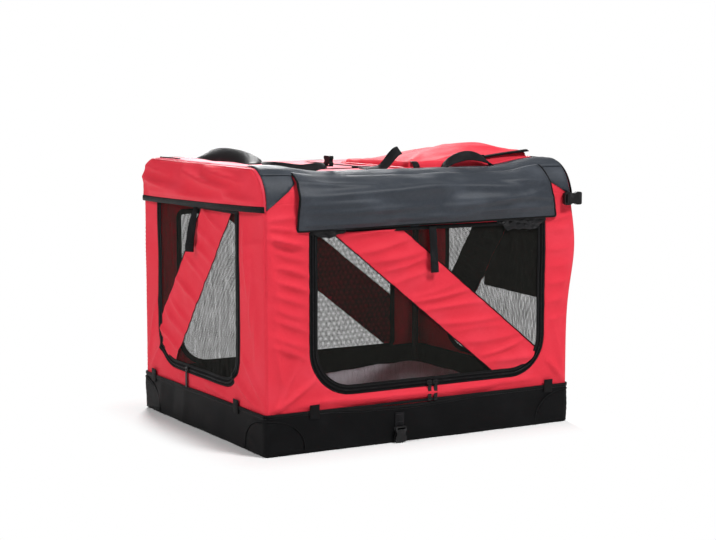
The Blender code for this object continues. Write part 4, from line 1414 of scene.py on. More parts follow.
@dataclass
class Cutter:
    """Cuts patterns and trims, and lays them on one side of the crate."""

    side: Side

    def sheet(self, name: str, pattern: Pattern, lift: float = 0.0, thickness: float = 0.0) -> Object:
        """Lay a cut sheet on the side.

        Args:
            name: The piece's name.
            pattern: What is cut.
            lift: Height above the side.
            thickness: Thickness of the cloth, or 0 for a single layer.

        Returns:
            The object.
        """
        flat, faces = pattern.mesh()
        points = self.side.place(flat, lift)
        above = self.side.place(flat, lift + 0.001)
        first, second, third = points[faces[:, 0]], points[faces[:, 1]], points[faces[:, 2]]
        faced = (np.cross(second - first, third - first) * (above - points)[faces[:, 0]]).sum()
        if faced < 0:
            faces = faces[:, ::-1]
        made = add_mesh(name, points, faces, flat)
        return thicken(made, thickness) if thickness else made

    def trim(
        self, name: str, path: Sequence[Flat], section: Sequence[Flat], closed: bool = False,
        lift: float = 0.0, step: float = 0.006,
    ) -> Object:
        """Sweep a tape along a line on the side.

        Args:
            name: The piece's name.
            path: The line in the pattern.
            section: Corners of the tape's section, as (across, up), anticlockwise.
            closed: Whether the line closes.
            lift: Height above the side.
            step: Length of one stretch.

        Returns:
            The object.
        """
        line = spaced(path, step, closed)
        square = normals(line, closed)
        rings = np.stack(
            [self.side.place(line + square * across, lift + up) for across, up in section], axis=1
        )
        return loft(name, rings, closed)

    def dashes(
        self, name: str, path: Sequence[Flat], size: tuple[float, float, float], pitch: float, lift: float,
        closed: bool = False,
    ) -> Object:
        """Set a row of small raised bars along a line, such as stitches or zip teeth.

        Args:
            name: The piece's name.
            path: The line in the pattern.
            size: Length along the line, width across it and height of one bar.
            pitch: Distance from one to the next.
            lift: Height of their feet above the side.
            closed: Whether the line closes.

        Returns:
            The object.
        """
        line = spaced(path, min(pitch, 0.002), closed)
        if closed:
            line = np.concatenate([line, line[:1]])
        gone = np.concatenate([[0], np.cumsum(np.linalg.norm(np.diff(line, axis=0), axis=1))])
        count = max(1, int(gone[-1] / pitch))
        middles = (np.arange(count) + 0.5) * gone[-1] / count
        long, wide, high = size

        def at(where: Array) -> Array:
            """Places along the line."""
            return np.stack([np.interp(where, gone, line[:, k]) for k in (0, 1)], axis=1)

        ahead = at(middles + 0.0005) - at(middles - 0.0005)
        ahead /= np.linalg.norm(ahead, axis=1)[:, None]
        square = np.stack([-ahead[:, 1], ahead[:, 0]], axis=1)
        centre = at(middles)
        signs = ((-1, -1), (1, -1), (1, 1), (-1, 1))
        feet = [
            self.side.place(centre + ahead * a * long / 2 + square * b * wide / 2, lift)
            for a, b in signs
        ]
        tops = [
            self.side.place(centre + ahead * a * long * 0.3 + square * b * wide * 0.32, lift + high)
            for a, b in signs
        ]
        points = np.stack(feet + tops, axis=1).reshape(-1, 3)
        shape = np.array([(0, 1, 5, 4), (1, 2, 6, 5), (2, 3, 7, 6), (3, 0, 4, 7), (4, 5, 6, 7)])
        faces = (np.arange(count)[:, None, None] * 8 + shape[None]).reshape(-1, 4)
        made = add_mesh(name, points, faces, points[:, :2], smooth_faces=False)
        return facing(made)


def facing(piece: Object) -> Object:
    """Turn the faces of a closed or nearly closed piece outwards.

    Args:
        piece: The piece.

    Returns:
        The piece.
    """
    shape = bmesh.new()
    shape.from_mesh(piece.data)
    bmesh.ops.recalc_face_normals(shape, faces=shape.faces)
    shape.to_mesh(piece.data)
    shape.free()
    return piece


def normals(line: Array, closed: bool) -> Array:
    """Unit normals to the left of a flat line, lengthened at its corners.

    Args:
        line: Points of the line.
        closed: Whether the line closes.

    Returns:
        One normal for each point.
    """
    if closed:
        before, after = line - np.roll(line, 1, axis=0), np.roll(line, -1, axis=0) - line
    else:
        steps = np.diff(line, axis=0)
        before, after = np.concatenate([steps[:1], steps]), np.concatenate([steps, steps[-1:]])
    before = before / np.linalg.norm(before, axis=1)[:, None]
    after = after / np.linalg.norm(after, axis=1)[:, None]
    ahead = before + after
    ahead /= np.maximum(np.linalg.norm(ahead, axis=1), 1e-9)[:, None]
    stretch = 1 / np.clip((ahead * after).sum(axis=1), 0.6, 1)
    return np.stack([-ahead[:, 1], ahead[:, 0]], axis=1) * stretch[:, None]


def loft(name: str, rings: Array, closed: bool, smooth_faces: bool = True) -> Object:
    """Join rings of points into a tube, with its ends capped if it is open.

    Args:
        name: The piece's name.
        rings: Points of each ring, as an array of ring, corner and x, y, z.
        closed: Whether the last ring joins the first.
        smooth_faces: Whether it is shaded smooth.

    Returns:
        The object.
    """
    count, corners = rings.shape[:2]
    gone = np.concatenate([[0], np.cumsum(np.linalg.norm(np.diff(rings.mean(axis=1), axis=0), axis=1))])
    around = np.linalg.norm(rings - np.roll(rings, 1, axis=1), axis=2).mean(axis=0)
    round_at = np.concatenate([[0], np.cumsum(np.roll(around, -1))])
    faces, uvs = [], []
    last_length = gone[-1] + float(np.linalg.norm(rings[0].mean(axis=0) - rings[-1].mean(axis=0)))
    for i in range(count if closed else count - 1):
        j = (i + 1) % count
        ahead = gone[j] if j else last_length
        for k in range(corners):
            m = (k + 1) % corners
            faces.append((i * corners + k, j * corners + k, j * corners + m, i * corners + m))
            uvs += [
                (gone[i], round_at[k]), (ahead, round_at[k]), (ahead, round_at[k + 1]),
                (gone[i], round_at[k + 1]),
            ]
    if not closed:
        faces.append(tuple(range(corners)))
        faces.append(tuple(range((count - 1) * corners, count * corners))[::-1])
        uvs += [(0.0, round_at[k]) for k in range(corners)] * 2
    return facing_kept(name, rings.reshape(-1, 3), faces, np.array(uvs), smooth_faces)


def facing_kept(name: str, points: Array, faces: list, uvs: Array, smooth_faces: bool) -> Object:
    """Add a closed mesh with its faces outwards and its hard edges kept.

    Args:
        name: Its name.
        points: Its points in the crate.
        faces: Its faces.
        uvs: Flat places of its points or corners.
        smooth_faces: Whether it is shaded smooth.

    Returns:
        The object.
    """
    made = facing(add_mesh(name, points, faces, uvs, smooth_faces))
    if smooth_faces:
        made.data.set_sharp_from_angle(angle=math.radians(50))
    return made


def tape(width: float, thickness: float, crown: float = 0.0) -> list[Flat]:
    """Section of a flat tape with slightly rounded edges.

    Args:
        width: Its width.
        thickness: Its thickness.
        crown: Extra height along its middle.

    Returns:
        The section's corners.
    """
    half, edge = width / 2, min(thickness * 0.35, width * 0.1)
    return [
        (-half + edge, 0),
        (half - edge, 0),
        (half, edge),
        (half, thickness - edge),
        (half - edge, thickness),
        (0, thickness + crown),
        (-half + edge, thickness),
        (-half, thickness - edge),
        (-half, edge),
    ]


def cord(radius: float, sides: int = 8) -> list[Flat]:
    """Round section that stands on its line."""
    turns = [2 * math.pi * i / sides for i in range(sides)]
    return [(radius * math.cos(t), radius + radius * math.sin(t)) for t in turns]


def strap(
    name: str, path: Array, across: Array, section: Sequence[Flat], smooth_faces: bool = True
) -> Object:
    """Sweep a section along a free line.

    Args:
        name: The piece's name.
        path: Points of the line.
        across: The strap's width direction at each point.
        section: Corners of the section, as (across, up).
        smooth_faces: Whether it is shaded smooth.

    Returns:
        The object.
    """
    ahead = np.gradient(path, axis=0)
    ahead /= np.linalg.norm(ahead, axis=1)[:, None]
    across = across - (across * ahead).sum(axis=1)[:, None] * ahead
    across = across / np.linalg.norm(across, axis=1)[:, None]
    up = np.cross(ahead, across)
    rings = np.stack([path + across * a + up * b for a, b in section], axis=1)
    return loft(name, rings, False, smooth_faces)


def declare(piece: Object, pattern: Pattern) -> None:
    """Work out how large a piece was cut, its folds let out; the result is not kept.

    Args:
        piece: The piece.
        pattern: What it was cut from.
    """
    (wide, long), area = pattern.size()
    drape = sum(face.area for face in piece.data.polygons) / area
    flat, area = (wide, long * drape), area * drape
    min(area, 0.999 * flat[0] * flat[1])


# Walls


@dataclass
class Wall:
    """A wall in two parts: up to the shoulder, and from there to its top edge."""

    name: str
    side: LongSide | EndSide
    opening: Four
    radii: Four
    step: float

    def build(self) -> None:
        """Cut and lay the wall."""
        seam = BOX.shoulder - 0.0015
        if isinstance(self.side, LongSide):
            half = BOX.half_length - BOX.mitre
            over = rectangle((-half, half, seam, BOX.shoulder + BOX.arc))
        else:
            half = BOX.half_depth - BOX.mitre
            radius = BOX.top_radius - BOX.mitre - 0.0001
            over = rectangle((-half, half, seam, BOX.height - BOX.mitre), (0, 0, radius, radius))
        cutter = Cutter(self.side)
        opening = rectangle(self.opening, self.radii)
        lower = Pattern(rectangle((-half, half, BOX.floor, BOX.shoulder)), [opening], self.step)
        cloth = cutter.sheet(self.name + "_cloth", lower, 0.0, BOX.fabric * 0.6)
        dress(cloth, Paint.RED, Role("base", (self.name,), self.side.folds))
        declare(cloth, lower)
        upper = Pattern(over, step=0.008)
        shoulder = cutter.sheet(self.name + "_shoulder", upper, 0.0001)
        dress(shoulder, Paint.RED, Role("roof", (self.name,)))
        declare(shoulder, upper)


# Doors and windows


@dataclass
class NetPanel:
    """A net with its diagonal brace, sewn into a wall or a door."""

    name: str
    side: Side
    edges: Four
    radii: Four
    brace: tuple[Flat, Flat]
    role: Role
    nodes: tuple[str, str]
    seed: int = 3
    slope: float = 0.12
    brace_width: float = 0.106
    # Whether a black sheet is laid behind the brace: painted shade that darkens the brace's inner side.
    shade_lined: bool = False
    count: int = 13

    def build(self) -> None:
        """Lay the net, its brace and the brace's bound edges."""
        outline = rectangle(self.edges, self.radii)
        cutter = Cutter(self.side)
        net = Pattern(outline, step=0.014)
        piece = cutter.sheet(self.name + "_netting", net, -0.0018)
        net_paint = Paint.END_NET if isinstance(self.side, EndSide) else Paint.NET
        dress(piece, net_paint, Role(self.role.body, (self.nodes[0],), self.role.folds))
        declare(piece, net)
        shape, start, end, square = self.brace_shape(outline)
        folds = across_brace(*self.brace, self.brace_width, self.slope, self.count, 0.008, self.seed)
        relief = Relief(
            folds, ripple=0.0007, ripple_size=(0.05, 0.03), seed=self.seed + 9, swell=self.side.relief.lift
        )
        brace_side = type(self.side)(self.side.out, relief)
        brace = Pattern(shape, step=0.0036)
        cloth = Cutter(brace_side).sheet(self.name + "_brace", brace, -0.0002, 0.0009)
        dress(cloth, Paint.RED, Role(self.role.body, (self.nodes[1],), self.role.folds))
        declare(cloth, brace)
        # The black sheet behind the brace is painted shade on the brace's inner side.
        if self.shade_lined:
            lining = Cutter(brace_side).sheet(self.name + "_brace_lining", brace, -0.0014)
            dress(lining, Paint.BLACK, Role(self.role.body, (), self.role.folds))
        for tag, sign in (("upper", 1), ("lower", -1)):
            line = self.inside_line(start + square * sign, end + square * sign, outline)
            edging = Cutter(brace_side).trim(
                f"{self.name}_brace_edge_{tag}", line, tape(0.0022, 0.0011), lift=-0.0002
            )
            dress(edging, Paint.BINDING, Role(self.role.body, (), self.role.folds))

    def brace_shape(self, outline: list[Flat]) -> tuple[list[Flat], Array, Array, Array]:
        """The brace's outline within the net, its ends and its half width.

        Args:
            outline: Corners of the outline.

        Returns:
            The outline, both ends and the half width.
        """
        start, end = (np.array(point) for point in self.brace)
        along = (end - start) / np.linalg.norm(end - start)
        start, end = start - along * 0.15, end + along * 0.15
        square = np.array([-along[1], along[0]]) * self.brace_width / 2
        corners = [start - square, end - square, end + square, start + square]
        return clipped(corners, outline), start, end, square

    def inside_line(self, start: Array, end: Array, outline: list[Flat]) -> list[Flat]:
        """The stretch of a line that runs within the net.

        Args:
            start: Where it starts.
            end: Where it ends.
            outline: Corners of the outline.

        Returns:
            Both its ends.
        """
        spots = start + (end - start) * np.linspace(0, 1, 400)[:, None]
        kept = spots[within(spots, np.array(outline))]
        return [tuple(kept[0]), tuple(kept[-1])]


@dataclass
class ZipDoor:
    """A zipped door: zip and tape on three sides, net, brace, tie and sliders."""

    name: str
    side: Side
    edges: Four
    radii: Four
    brace: tuple[Flat, Flat]
    tie: Flat
    sliders: tuple[str, ...]
    tie_turn: float = 0.0
    seed: int = 11
    slope: float = 0.14
    brace_width: float = 0.106
    count: int = 13
    zip_width: float = 0.017
    tie_length: float = 0.096
    tie_width: float = 0.0185

    def inner(self) -> tuple[tuple[float, ...], tuple[float, ...]]:
        """Edges and radii of the net inside the zip.

        Returns:
            Edges and radii.
        """
        a0, a1, b0, b1 = self.edges
        width = self.zip_width
        radii = tuple(max(radius - width, 0.002) for radius in self.radii)
        return (a0 + width, a1 - width, b0 + width, b1 - 0.004), radii

    def line(self, inset: float) -> list[Flat]:
        """The line of the zip, from its top left down, across and up again.

        Args:
            inset: Distance inside the edges.

        Returns:
            Points of the line.
        """
        a0, a1, b0, b1 = self.edges
        corners = [(a0 + inset, b1), (a0 + inset, b0 + inset), (a1 - inset, b0 + inset), (a1 - inset, b1)]
        return rounded(corners, [0, self.radii[0] - inset, self.radii[1] - inset, 0], closed=False, steps=10)

    def build(self) -> None:
        """Build the door."""
        body = f"{self.name}_door"
        role = Role(body, (), self.side.folds)
        cutter = Cutter(self.side)
        half = self.zip_width / 2
        section = [
            (-half, -0.0008),
            (half, -0.0008),
            (half, 0.0004),
            (half - 0.0035, 0.0007),
            (0.0028, 0.0003),
            (0.0021, 0.0013),
            (-0.0021, 0.0013),
            (-0.0028, 0.0003),
            (-half + 0.0035, 0.0007),
            (-half, 0.0004),
        ]
        zip_tape = cutter.trim(f"{body}_zip_tape", self.line(half), section)
        dress(zip_tape, Paint.TAPE, Role(body, (f"{body}_zip",), self.side.folds))
        teeth = cutter.dashes(f"{body}_zip_coil", self.line(half), (0.001, 0.0034, 0.0006), 0.0019, 0.0012)
        dress(teeth, Paint.TEETH, role)
        for tag, inset in (("outer", 0.0018), ("inner", self.zip_width - 0.0018)):
            stitches = cutter.dashes(
                f"{body}_zip_stitch_{tag}", self.line(inset), STITCH, STITCH_PITCH, 0.0005
            )
            dress(stitches, Paint.BLACK_THREAD, role)
        a0, a1, _, b1 = self.edges
        # Black binding along the door's top, made wide enough to also stand for the shade under the cover's
        # hem: partly real binding, partly painted shade.
        hem_and_shade_line = [(a0 + 0.002, b1 - 0.0015), (a1 - 0.002, b1 - 0.0015)]
        hem = cutter.trim(f"{body}_top_hem_and_shade", hem_and_shade_line, tape(0.0085, 0.002), lift=0.0002)
        dress(hem, Paint.BINDING, Role("base", (), self.side.folds))
        edges, radii = self.inner()
        net_edges = (edges[0] - 0.002, edges[1] + 0.002, edges[2] - 0.002, edges[3] + 0.002)
        NetPanel(
            body, self.side, net_edges, tuple(r + 0.002 for r in radii), self.brace, role,
            (f"{body}_net", f"{body}_stripe"), self.seed, self.slope, self.brace_width, count=self.count,
        ).build()
        edging_line = rounded(
            [(edges[0], edges[3]), (edges[0], edges[2]), (edges[1], edges[2]), (edges[1], edges[3])],
            [0, radii[0], radii[1], 0],
            closed=False,
            steps=10,
        )
        edging = cutter.trim(f"{body}_net_edge", edging_line, tape(0.006, 0.0012, 0.0003), lift=-0.0009)
        dress(edging, Paint.BINDING, role)
        self.hang_tie(body)
        for suffix in self.sliders:
            self.fit_slider(suffix)

    def hang_tie(self, body: str) -> None:
        """Hang the webbing tie in front of the door, folded over at its end.

        Args:
            body: The door's body.
        """
        across, top = self.tie
        shares = np.linspace(0, 1, 22)
        flat = np.stack([across + 0.0015 * shares**2, top - self.tie_length * shares], axis=1)
        lift = 0.003 + (0.007 + 0.009 * self.tie_turn) * np.sin(math.pi / 2 * shares)
        path = self.side.lay(flat, lift)
        turn = self.tie_turn * smooth(shares * 2)
        edge = flat + np.stack([0.01 * np.cos(turn), 0 * turn], axis=1)
        aside = self.side.lay(edge, lift + 0.01 * np.sin(turn)) - path
        belt = strap(f"{body}_tie_webbing", path, aside, tape(self.tie_width, 0.0014))
        dress(belt, Paint.WEBBING, Role(body, (f"{body}_tie",), self.side.folds))
        tip = flat[-5:] + np.array([0.0, 0.0005])
        turned = self.side.lay(tip, lift[-5:] + 0.0016)
        end = strap(f"{body}_tie_end", turned, aside[-5:], tape(self.tie_width, 0.0012))
        dress(end, Paint.WEBBING, Role(body, (), self.side.folds))

    def fit_slider(self, suffix: str) -> None:
        """Fit one slider and its pull, on bodies of their own.

        Args:
            suffix: What tells it from the others.
        """
        for part in ("slider", "pull"):
            node = f"{self.name}_zip_{part}{suffix}"
            piece = twin(node, f"{node}_metal", 0.0006)
            dress(piece, Paint.PLASTIC, Role(f"{self.name}_{part}{suffix}", (node,), self.side.folds))


def twin(node: str, name: str, bevel: float) -> Object:
    """A finer copy of a moulded part of the model.

    Args:
        node: The model's node.
        name: The copy's name.
        bevel: Width of its broken edges.

    Returns:
        The copy.
    """
    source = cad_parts[node]
    mesh = source.data.copy()
    made = bpy.data.objects.new(name, mesh)
    bpy.context.scene.collection.objects.link(made)
    return soften(made, bevel)


# Foot of the crate


@dataclass
class Foot:
    """The black band round the foot, its binding, loops, patches, strap and floor."""

    loop_round: float = 0.01
    outer_x: float = 0.3757
    outer_y: float = 0.3082
    left_buckles: tuple[tuple[float, float, float], ...] = (
        (0.215, 0.016, 0.002),
        (0.15, 0.02, -0.0018),
        (0.085, 0.018, 0.0016),
        (-0.12, 0.03, -0.0012),
        (-0.245, 0.016, 0.0012),
    )
    front_buckles: tuple[tuple[float, float, float], ...] = (
        (-0.215, 0.03, -0.0016),
        (0.02, 0.022, -0.0016),
        (0.095, 0.018, 0.0014),
        (0.235, 0.022, 0.0016),
    )
    tab_span: Flat = (0.07, 0.099)
    tab_width: float = 0.0225
    patch_size: Flat = (0.088, 0.068)
    strap_at: float = -0.063
    strap_span: Flat = (0.064, 0.034)
    strap_width: float = 0.0215
    foot_round: float = 0.0045

    def relief(self, loop: Loop) -> Relief:
        """Soft vertical buckles and the puckers of the band.

        Args:
            loop: The band's line.

        Returns:
            The relief.
        """
        spots = (
            *((loop.left(y), wide, high) for y, wide, high in self.left_buckles),
            *((loop.front(x), wide, high) for x, wide, high in self.front_buckles),
            *((loop.right(y), 0.02, high) for y, high in ((0.1, 0.0015), (-0.12, -0.0015))),
            *((loop.rear(x), 0.02, high) for x, high in ((0.18, 0.0016), (-0.15, -0.0016))),
        )
        made = [Crease((s - 0.01, 0.004), (s + 0.012, 0.092), wide, high) for s, wide, high in spots]
        made.append(Crease((loop.front(0.1), 0.06), (loop.front(0.24), 0.018), 0.01, 0.002))
        made.append(Crease((loop.front(0.13), 0.075), (loop.front(0.33), 0.04), 0.012, 0.0016))
        made.append(Crease((loop.left(-0.21), 0.045), (loop.left(-0.285), 0.012), 0.008, 0.0016))
        return Relief(tuple(made), ripple=0.0007, ripple_size=(0.09, 0.05), seed=5)

    def build(self) -> None:
        """Build the band and what is sewn to it."""
        loop = Loop(self.outer_x, self.outer_y, self.loop_round)
        loop.relief = self.relief(loop)
        self.lay_band(loop)
        self.sew_loops(loop)
        self.sew_patches(loop)
        self.fit_strap(loop)
        self.lay_floor()

    def lay_band(self, loop: Loop) -> None:
        """The band, tucked in at its foot, with its binding and a row of stitches.

        Args:
            loop: The band's line.
        """
        count, rows = 420, 16
        lengths = np.linspace(0, loop.length, count, endpoint=False)
        heights = np.linspace(0, 1, rows)
        top = self.top_edge(loop, lengths)
        points, flat, bend = [], [], self.foot_round
        for share in heights:
            z = share**1.2 * top
            under = np.clip(bend - z, 0, bend)
            tuck = bend - np.sqrt(np.maximum(bend**2 - under**2, 0))
            spots = np.stack([lengths, z], axis=1)
            points.append(loop.place(spots, -tuck))
            flat.append(spots)
        grid = np.array(points)
        faces = ring_faces(rows, count)
        band = add_mesh("base_band_cloth", grid.reshape(-1, 3), faces, np.array(flat).reshape(-1, 2))
        thicken(band, 0.0022)
        dress(band, Paint.BLACK, Role("base", ("base_band",)))
        edge = [(s, z) for s, z in zip(lengths, top - 0.0028)]
        binding = Cutter(loop).trim(
            "base_band_binding", edge, tape(0.0062, 0.0012, 0.0002), closed=True, step=0.008
        )
        dress(binding, Paint.BINDING, Role("base"))
        seam = [(s, z) for s, z in zip(lengths, top - 0.0075)]
        stitches = Cutter(loop).dashes("base_band_stitch", seam, STITCH, 0.0044, 0.0001, closed=True)
        dress(stitches, Paint.BLACK_THREAD, Role("base"))

    def top_edge(self, loop: Loop, lengths: Array) -> Array:
        """Height of the band's upper edge: it dips where the wall hangs over it.

        Args:
            loop: The band's line.
            lengths: Places round the band.

        Returns:
            One height for each place.
        """
        dip = np.zeros(len(lengths))
        for middle, wide, deep in (
            (loop.front(-0.03), 0.13, 0.0085),
            (loop.front(-0.16), 0.05, 0.002),
            (loop.left(0.17), 0.1, 0.0035),
            (loop.rear(0.0), 0.16, 0.005),
            (loop.right(0.05), 0.12, 0.004),
        ):
            dip += deep * np.exp(-(((lengths - middle) / wide) ** 2))
        return BOX.band_height + 0.0006 - dip

    def sew_loops(self, loop: Loop) -> None:
        """Short upright tapes on the band's upper edge.

        Args:
            loop: The band's line.
        """
        places = {
            "front_left": loop.front(-0.264), "front_right": loop.front(0.319), "left_rear": loop.left(0.25),
            "left_front": loop.left(-0.176), "right_front": loop.right(-0.2), "right_rear": loop.right(0.2),
            "rear_left": loop.rear(-0.28), "rear_right": loop.rear(0.28),
        }
        for name, s in places.items():
            path = np.linspace((s, self.tab_span[0]), (s, self.tab_span[1]), 8)
            tab = Cutter(loop).trim(
                f"band_loop_{name}", [tuple(p) for p in path], tape(self.tab_width, 0.0016), lift=0.001,
                step=0.004,
            )
            dress(tab, Paint.BINDING, Role("base"))

    def sew_patches(self, loop: Loop) -> None:
        """Half-round reinforcements on the four corners of the band.

        Args:
            loop: The band's line.
        """
        corners = {
            "left_front": 0.0 - loop.turn / 2,
            "right_front": loop.long + loop.turn / 2,
            "right_rear": loop.long + loop.short + 1.5 * loop.turn,
            "left_rear": 2 * loop.long + loop.short + 2.5 * loop.turn,
        }
        wide, high = self.patch_size
        for name, middle in corners.items():
            turns = np.linspace(0, math.pi, 25)
            arch = [(middle + wide * math.cos(t), 0.006 + high * math.sin(t) ** 0.8) for t in turns]
            shifted = [(a + loop.length, b) for a, b in arch]
            patch = Cutter(loop).sheet(f"corner_patch_{name}", Pattern(shifted, step=0.007), 0.0007, 0.0007)
            dress(patch, Paint.BLACK, Role("base"))
            seam = Cutter(loop).trim(f"corner_seam_{name}", shifted, tape(0.0022, 0.0012), lift=0.0006)
            dress(seam, Paint.BINDING, Role("base"))

    def fit_strap(self, loop: Loop) -> None:
        """The short strap that holds the buckle half at the front.

        Args:
            loop: The band's line.
        """
        s = loop.front(self.strap_at)
        path = [(s, z) for z in np.linspace(*self.strap_span, 9)]
        belt = Cutter(loop).trim(
            "base_strap_webbing", path, tape(self.strap_width, 0.0018), lift=0.0006, step=0.004
        )
        dress(belt, Paint.WEBBING, Role("base", ("base_strap",)))
        for z in (0.06, 0.044):
            line = [(s - 0.009, z), (s + 0.009, z)]
            seam = Cutter(loop).dashes(
                f"base_strap_stitch_{int(z * 1000)}", line, (0.0024, 0.0007, 0.0004), 0.0032, 0.0024
            )
            dress(seam, Paint.BLACK_THREAD, Role("base"))

    def lay_floor(self) -> None:
        """The bound floor cloth and the lining that turns up inside the walls."""
        reach_x, reach_y = BOX.half_length - 0.001, BOX.half_depth - 0.001
        relief = Relief(ripple=0.0004, ripple_size=(0.12, 0.12), seed=8)
        pattern = Pattern(rectangle((-reach_x, reach_x, -reach_y, reach_y), (0.008,) * 4), step=0.02)
        floor = Cutter(LevelSide(0.0038, relief)).sheet("floor_cloth", pattern, 0.0, 0.0032)
        dress(floor, Paint.BLACK, Role("base", ("floor_panel",)))
        inner = Loop(BOX.half_length - 0.0036, BOX.half_depth - 0.0036, 0.006, Relief(ripple=0.0006, seed=12))
        count = 220
        lengths = np.linspace(0, inner.length, count, endpoint=False)
        rows = np.array([0.006, 0.03, 0.06, 0.086, 0.0935])
        grid = np.array([inner.place(np.stack([lengths, np.full(count, z)], axis=1), -0.0008) for z in rows])
        faces = ring_faces(len(rows), count)
        flat = np.array([np.stack([lengths, np.full(count, z)], axis=1) for z in rows]).reshape(-1, 2)
        lining = add_mesh("foot_lining", grid.reshape(-1, 3), faces, flat)
        thicken(lining, 0.0008)
        dress(lining, Paint.BLACK, Role("base", (), Folds.FOOT))


@dataclass
class Mat:
    """The fleece mat: a crowned pad whose sides pull in and whose right side stands up."""

    length: float = 0.672
    depth: float = 0.554
    bottom: float = 0.0045
    edge: float = 0.027
    crown: float = 0.0385
    drawn_in: float = 0.006
    corner: float = 0.022
    raised: float = 0.018
    raised_from: Flat = (-0.1, -0.2)
    raised_over: Flat = (0.42, 0.3)

    def build(self) -> None:
        """Build the mat."""
        across, along = 96, 80
        u = np.sin(np.linspace(-math.pi / 2, math.pi / 2, across))
        v = np.sin(np.linspace(-math.pi / 2, math.pi / 2, along))
        grid_u, grid_v = np.meshgrid(u, v, indexing="ij")
        uu, vv = grid_u.ravel(), grid_v.ravel()
        pull = self.corner * uu**2 * vv**2
        x = uu * (self.length / 2 - self.drawn_in * (1 - vv**2) - pull / 2)
        y = vv * (self.depth / 2 - self.drawn_in * (1 - uu**2) - pull / 2)
        rise = np.sqrt(np.clip((1 - np.abs(uu) ** 16) * (1 - np.abs(vv) ** 16), 0, 1))
        flat = np.stack([x, y], axis=1)
        lumps = 0.0016 * waves(flat / 0.09, 21) + 0.0006 * waves(flat / 0.02, 22)
        to_right = smooth((x - self.raised_from[0]) / self.raised_over[0])
        curl = self.raised * to_right * smooth((y - self.raised_from[1]) / self.raised_over[1])
        x = x + curl * 0.6
        top = self.bottom + self.edge + (self.crown - self.edge) * rise + lumps * rise + curl
        under = np.full(len(top), self.bottom)
        points = np.concatenate([np.stack([x, y, top], axis=1), np.stack([x, y, under], axis=1)])
        faces, count = [], across * along
        for i in range(across - 1):
            for j in range(along - 1):
                a, b, c, d = i * along + j, (i + 1) * along + j, (i + 1) * along + j + 1, i * along + j + 1
                faces += [(a, b, c, d), (a + count, d + count, c + count, b + count)]
        ring = rim_of(across, along)
        for a, b in zip(ring, ring[1:] + ring[:1]):
            faces.append((a + count, b + count, b, a))
        uvs = np.concatenate([flat, flat])
        mat = facing(add_mesh("fleece_pad", points, faces, uvs))
        rounded_edge = mat.modifiers.new("rounded", "SUBSURF")
        rounded_edge.levels = rounded_edge.render_levels = 1
        dress(mat, Paint.FLEECE, Role("base", ("fleece_mat",), Folds.MAT))


# Covers


@dataclass
class LongCover:
    """Roll-up cover of a long side: rolled over the top round and hanging."""

    name: str
    out: int
    paint: Paint
    top_edges: Flat
    hem_edges: Flat
    hem: float = 0.4555
    slant: float = 0.006
    top_angle: float = 58.0
    creases: tuple[Crease, ...] = ()
    slack: float = 0.016
    wavy: float = 0.22
    pinched: float = 0.65

    def swell(self, flat: Array) -> Array:
        """How far the cover hangs off the wall.

        Args:
            flat: Places in the pattern.

        Returns:
            The push at each place.
        """
        up = flat[:, 1]
        top = BOX.shoulder + BOX.top_radius * math.radians(self.top_angle)
        v = (top - up) / (top - self.hem)
        u = (flat[:, 0] - self.hem_edges[0]) / (self.hem_edges[1] - self.hem_edges[0])
        slack = self.slack * np.sin(math.pi * np.clip(np.clip(v, 0, 1) ** 1.2 * 0.92 + 0.01, 0, 1))
        slack = slack * (1 + self.wavy * np.sin(2 * math.pi * (2.3 * u + 0.9 * v)))
        return slack * (1 - self.pinched * np.clip(np.abs(2 * u - 1), 0, 1) ** 8)

    def build(self) -> None:
        """Cut the cover, hang it and bind its edges."""
        top = BOX.shoulder + BOX.top_radius * math.radians(self.top_angle)
        (t0, t1), (h0, h1) = self.top_edges, self.hem_edges
        low0, low1 = self.hem - self.slant / 2, self.hem + self.slant / 2
        outline = rounded([(h0, low0), (h1, low1), (t1, top), (t0, top)], [0.004, 0.004, 0, 0])
        relief = Relief(
            self.creases, ripple=0.0009, ripple_size=(0.1, 0.035), seed=31 + self.out, swell=self.swell
        )
        side = LongSide(self.out, relief)
        pattern = Pattern(outline, step=0.0042)
        folds = Folds.FRONT_COVER if self.out < 0 else Folds.REAR_COVER
        role = Role(self.name, (self.name,), folds)
        cloth = Cutter(side).sheet(self.name + "_cloth", pattern, 0.0028, 0.0014)
        dress(cloth, self.paint, role)
        declare(cloth, pattern)
        plain = Role(self.name, (), folds)
        line = [
            (t0, top - 0.004), (h0 + 0.0015, low0 + 0.002), (h1 - 0.0015, low1 + 0.002), (t1, top - 0.004)
        ]
        edge = rounded(line, [0, 0.005, 0.005, 0], closed=False)
        binding = Cutter(side).trim(
            self.name + "_binding", edge, tape(0.004, 0.0022), lift=0.0012, step=0.005
        )
        dress(binding, Paint.BINDING, plain)
        inner = rounded(
            [
                (t0 + 0.007, top - 0.004), (h0 + 0.01, low0 + 0.011), (h1 - 0.01, low1 + 0.011),
                (t1 - 0.007, top - 0.004),
            ],
            [0, 0.004, 0.004, 0], closed=False,
        )
        stitches = Cutter(side).dashes(self.name + "_stitch", inner, THIN_STITCH, STITCH_PITCH, 0.0027)
        dress(stitches, Paint.BLACK_THREAD, plain)


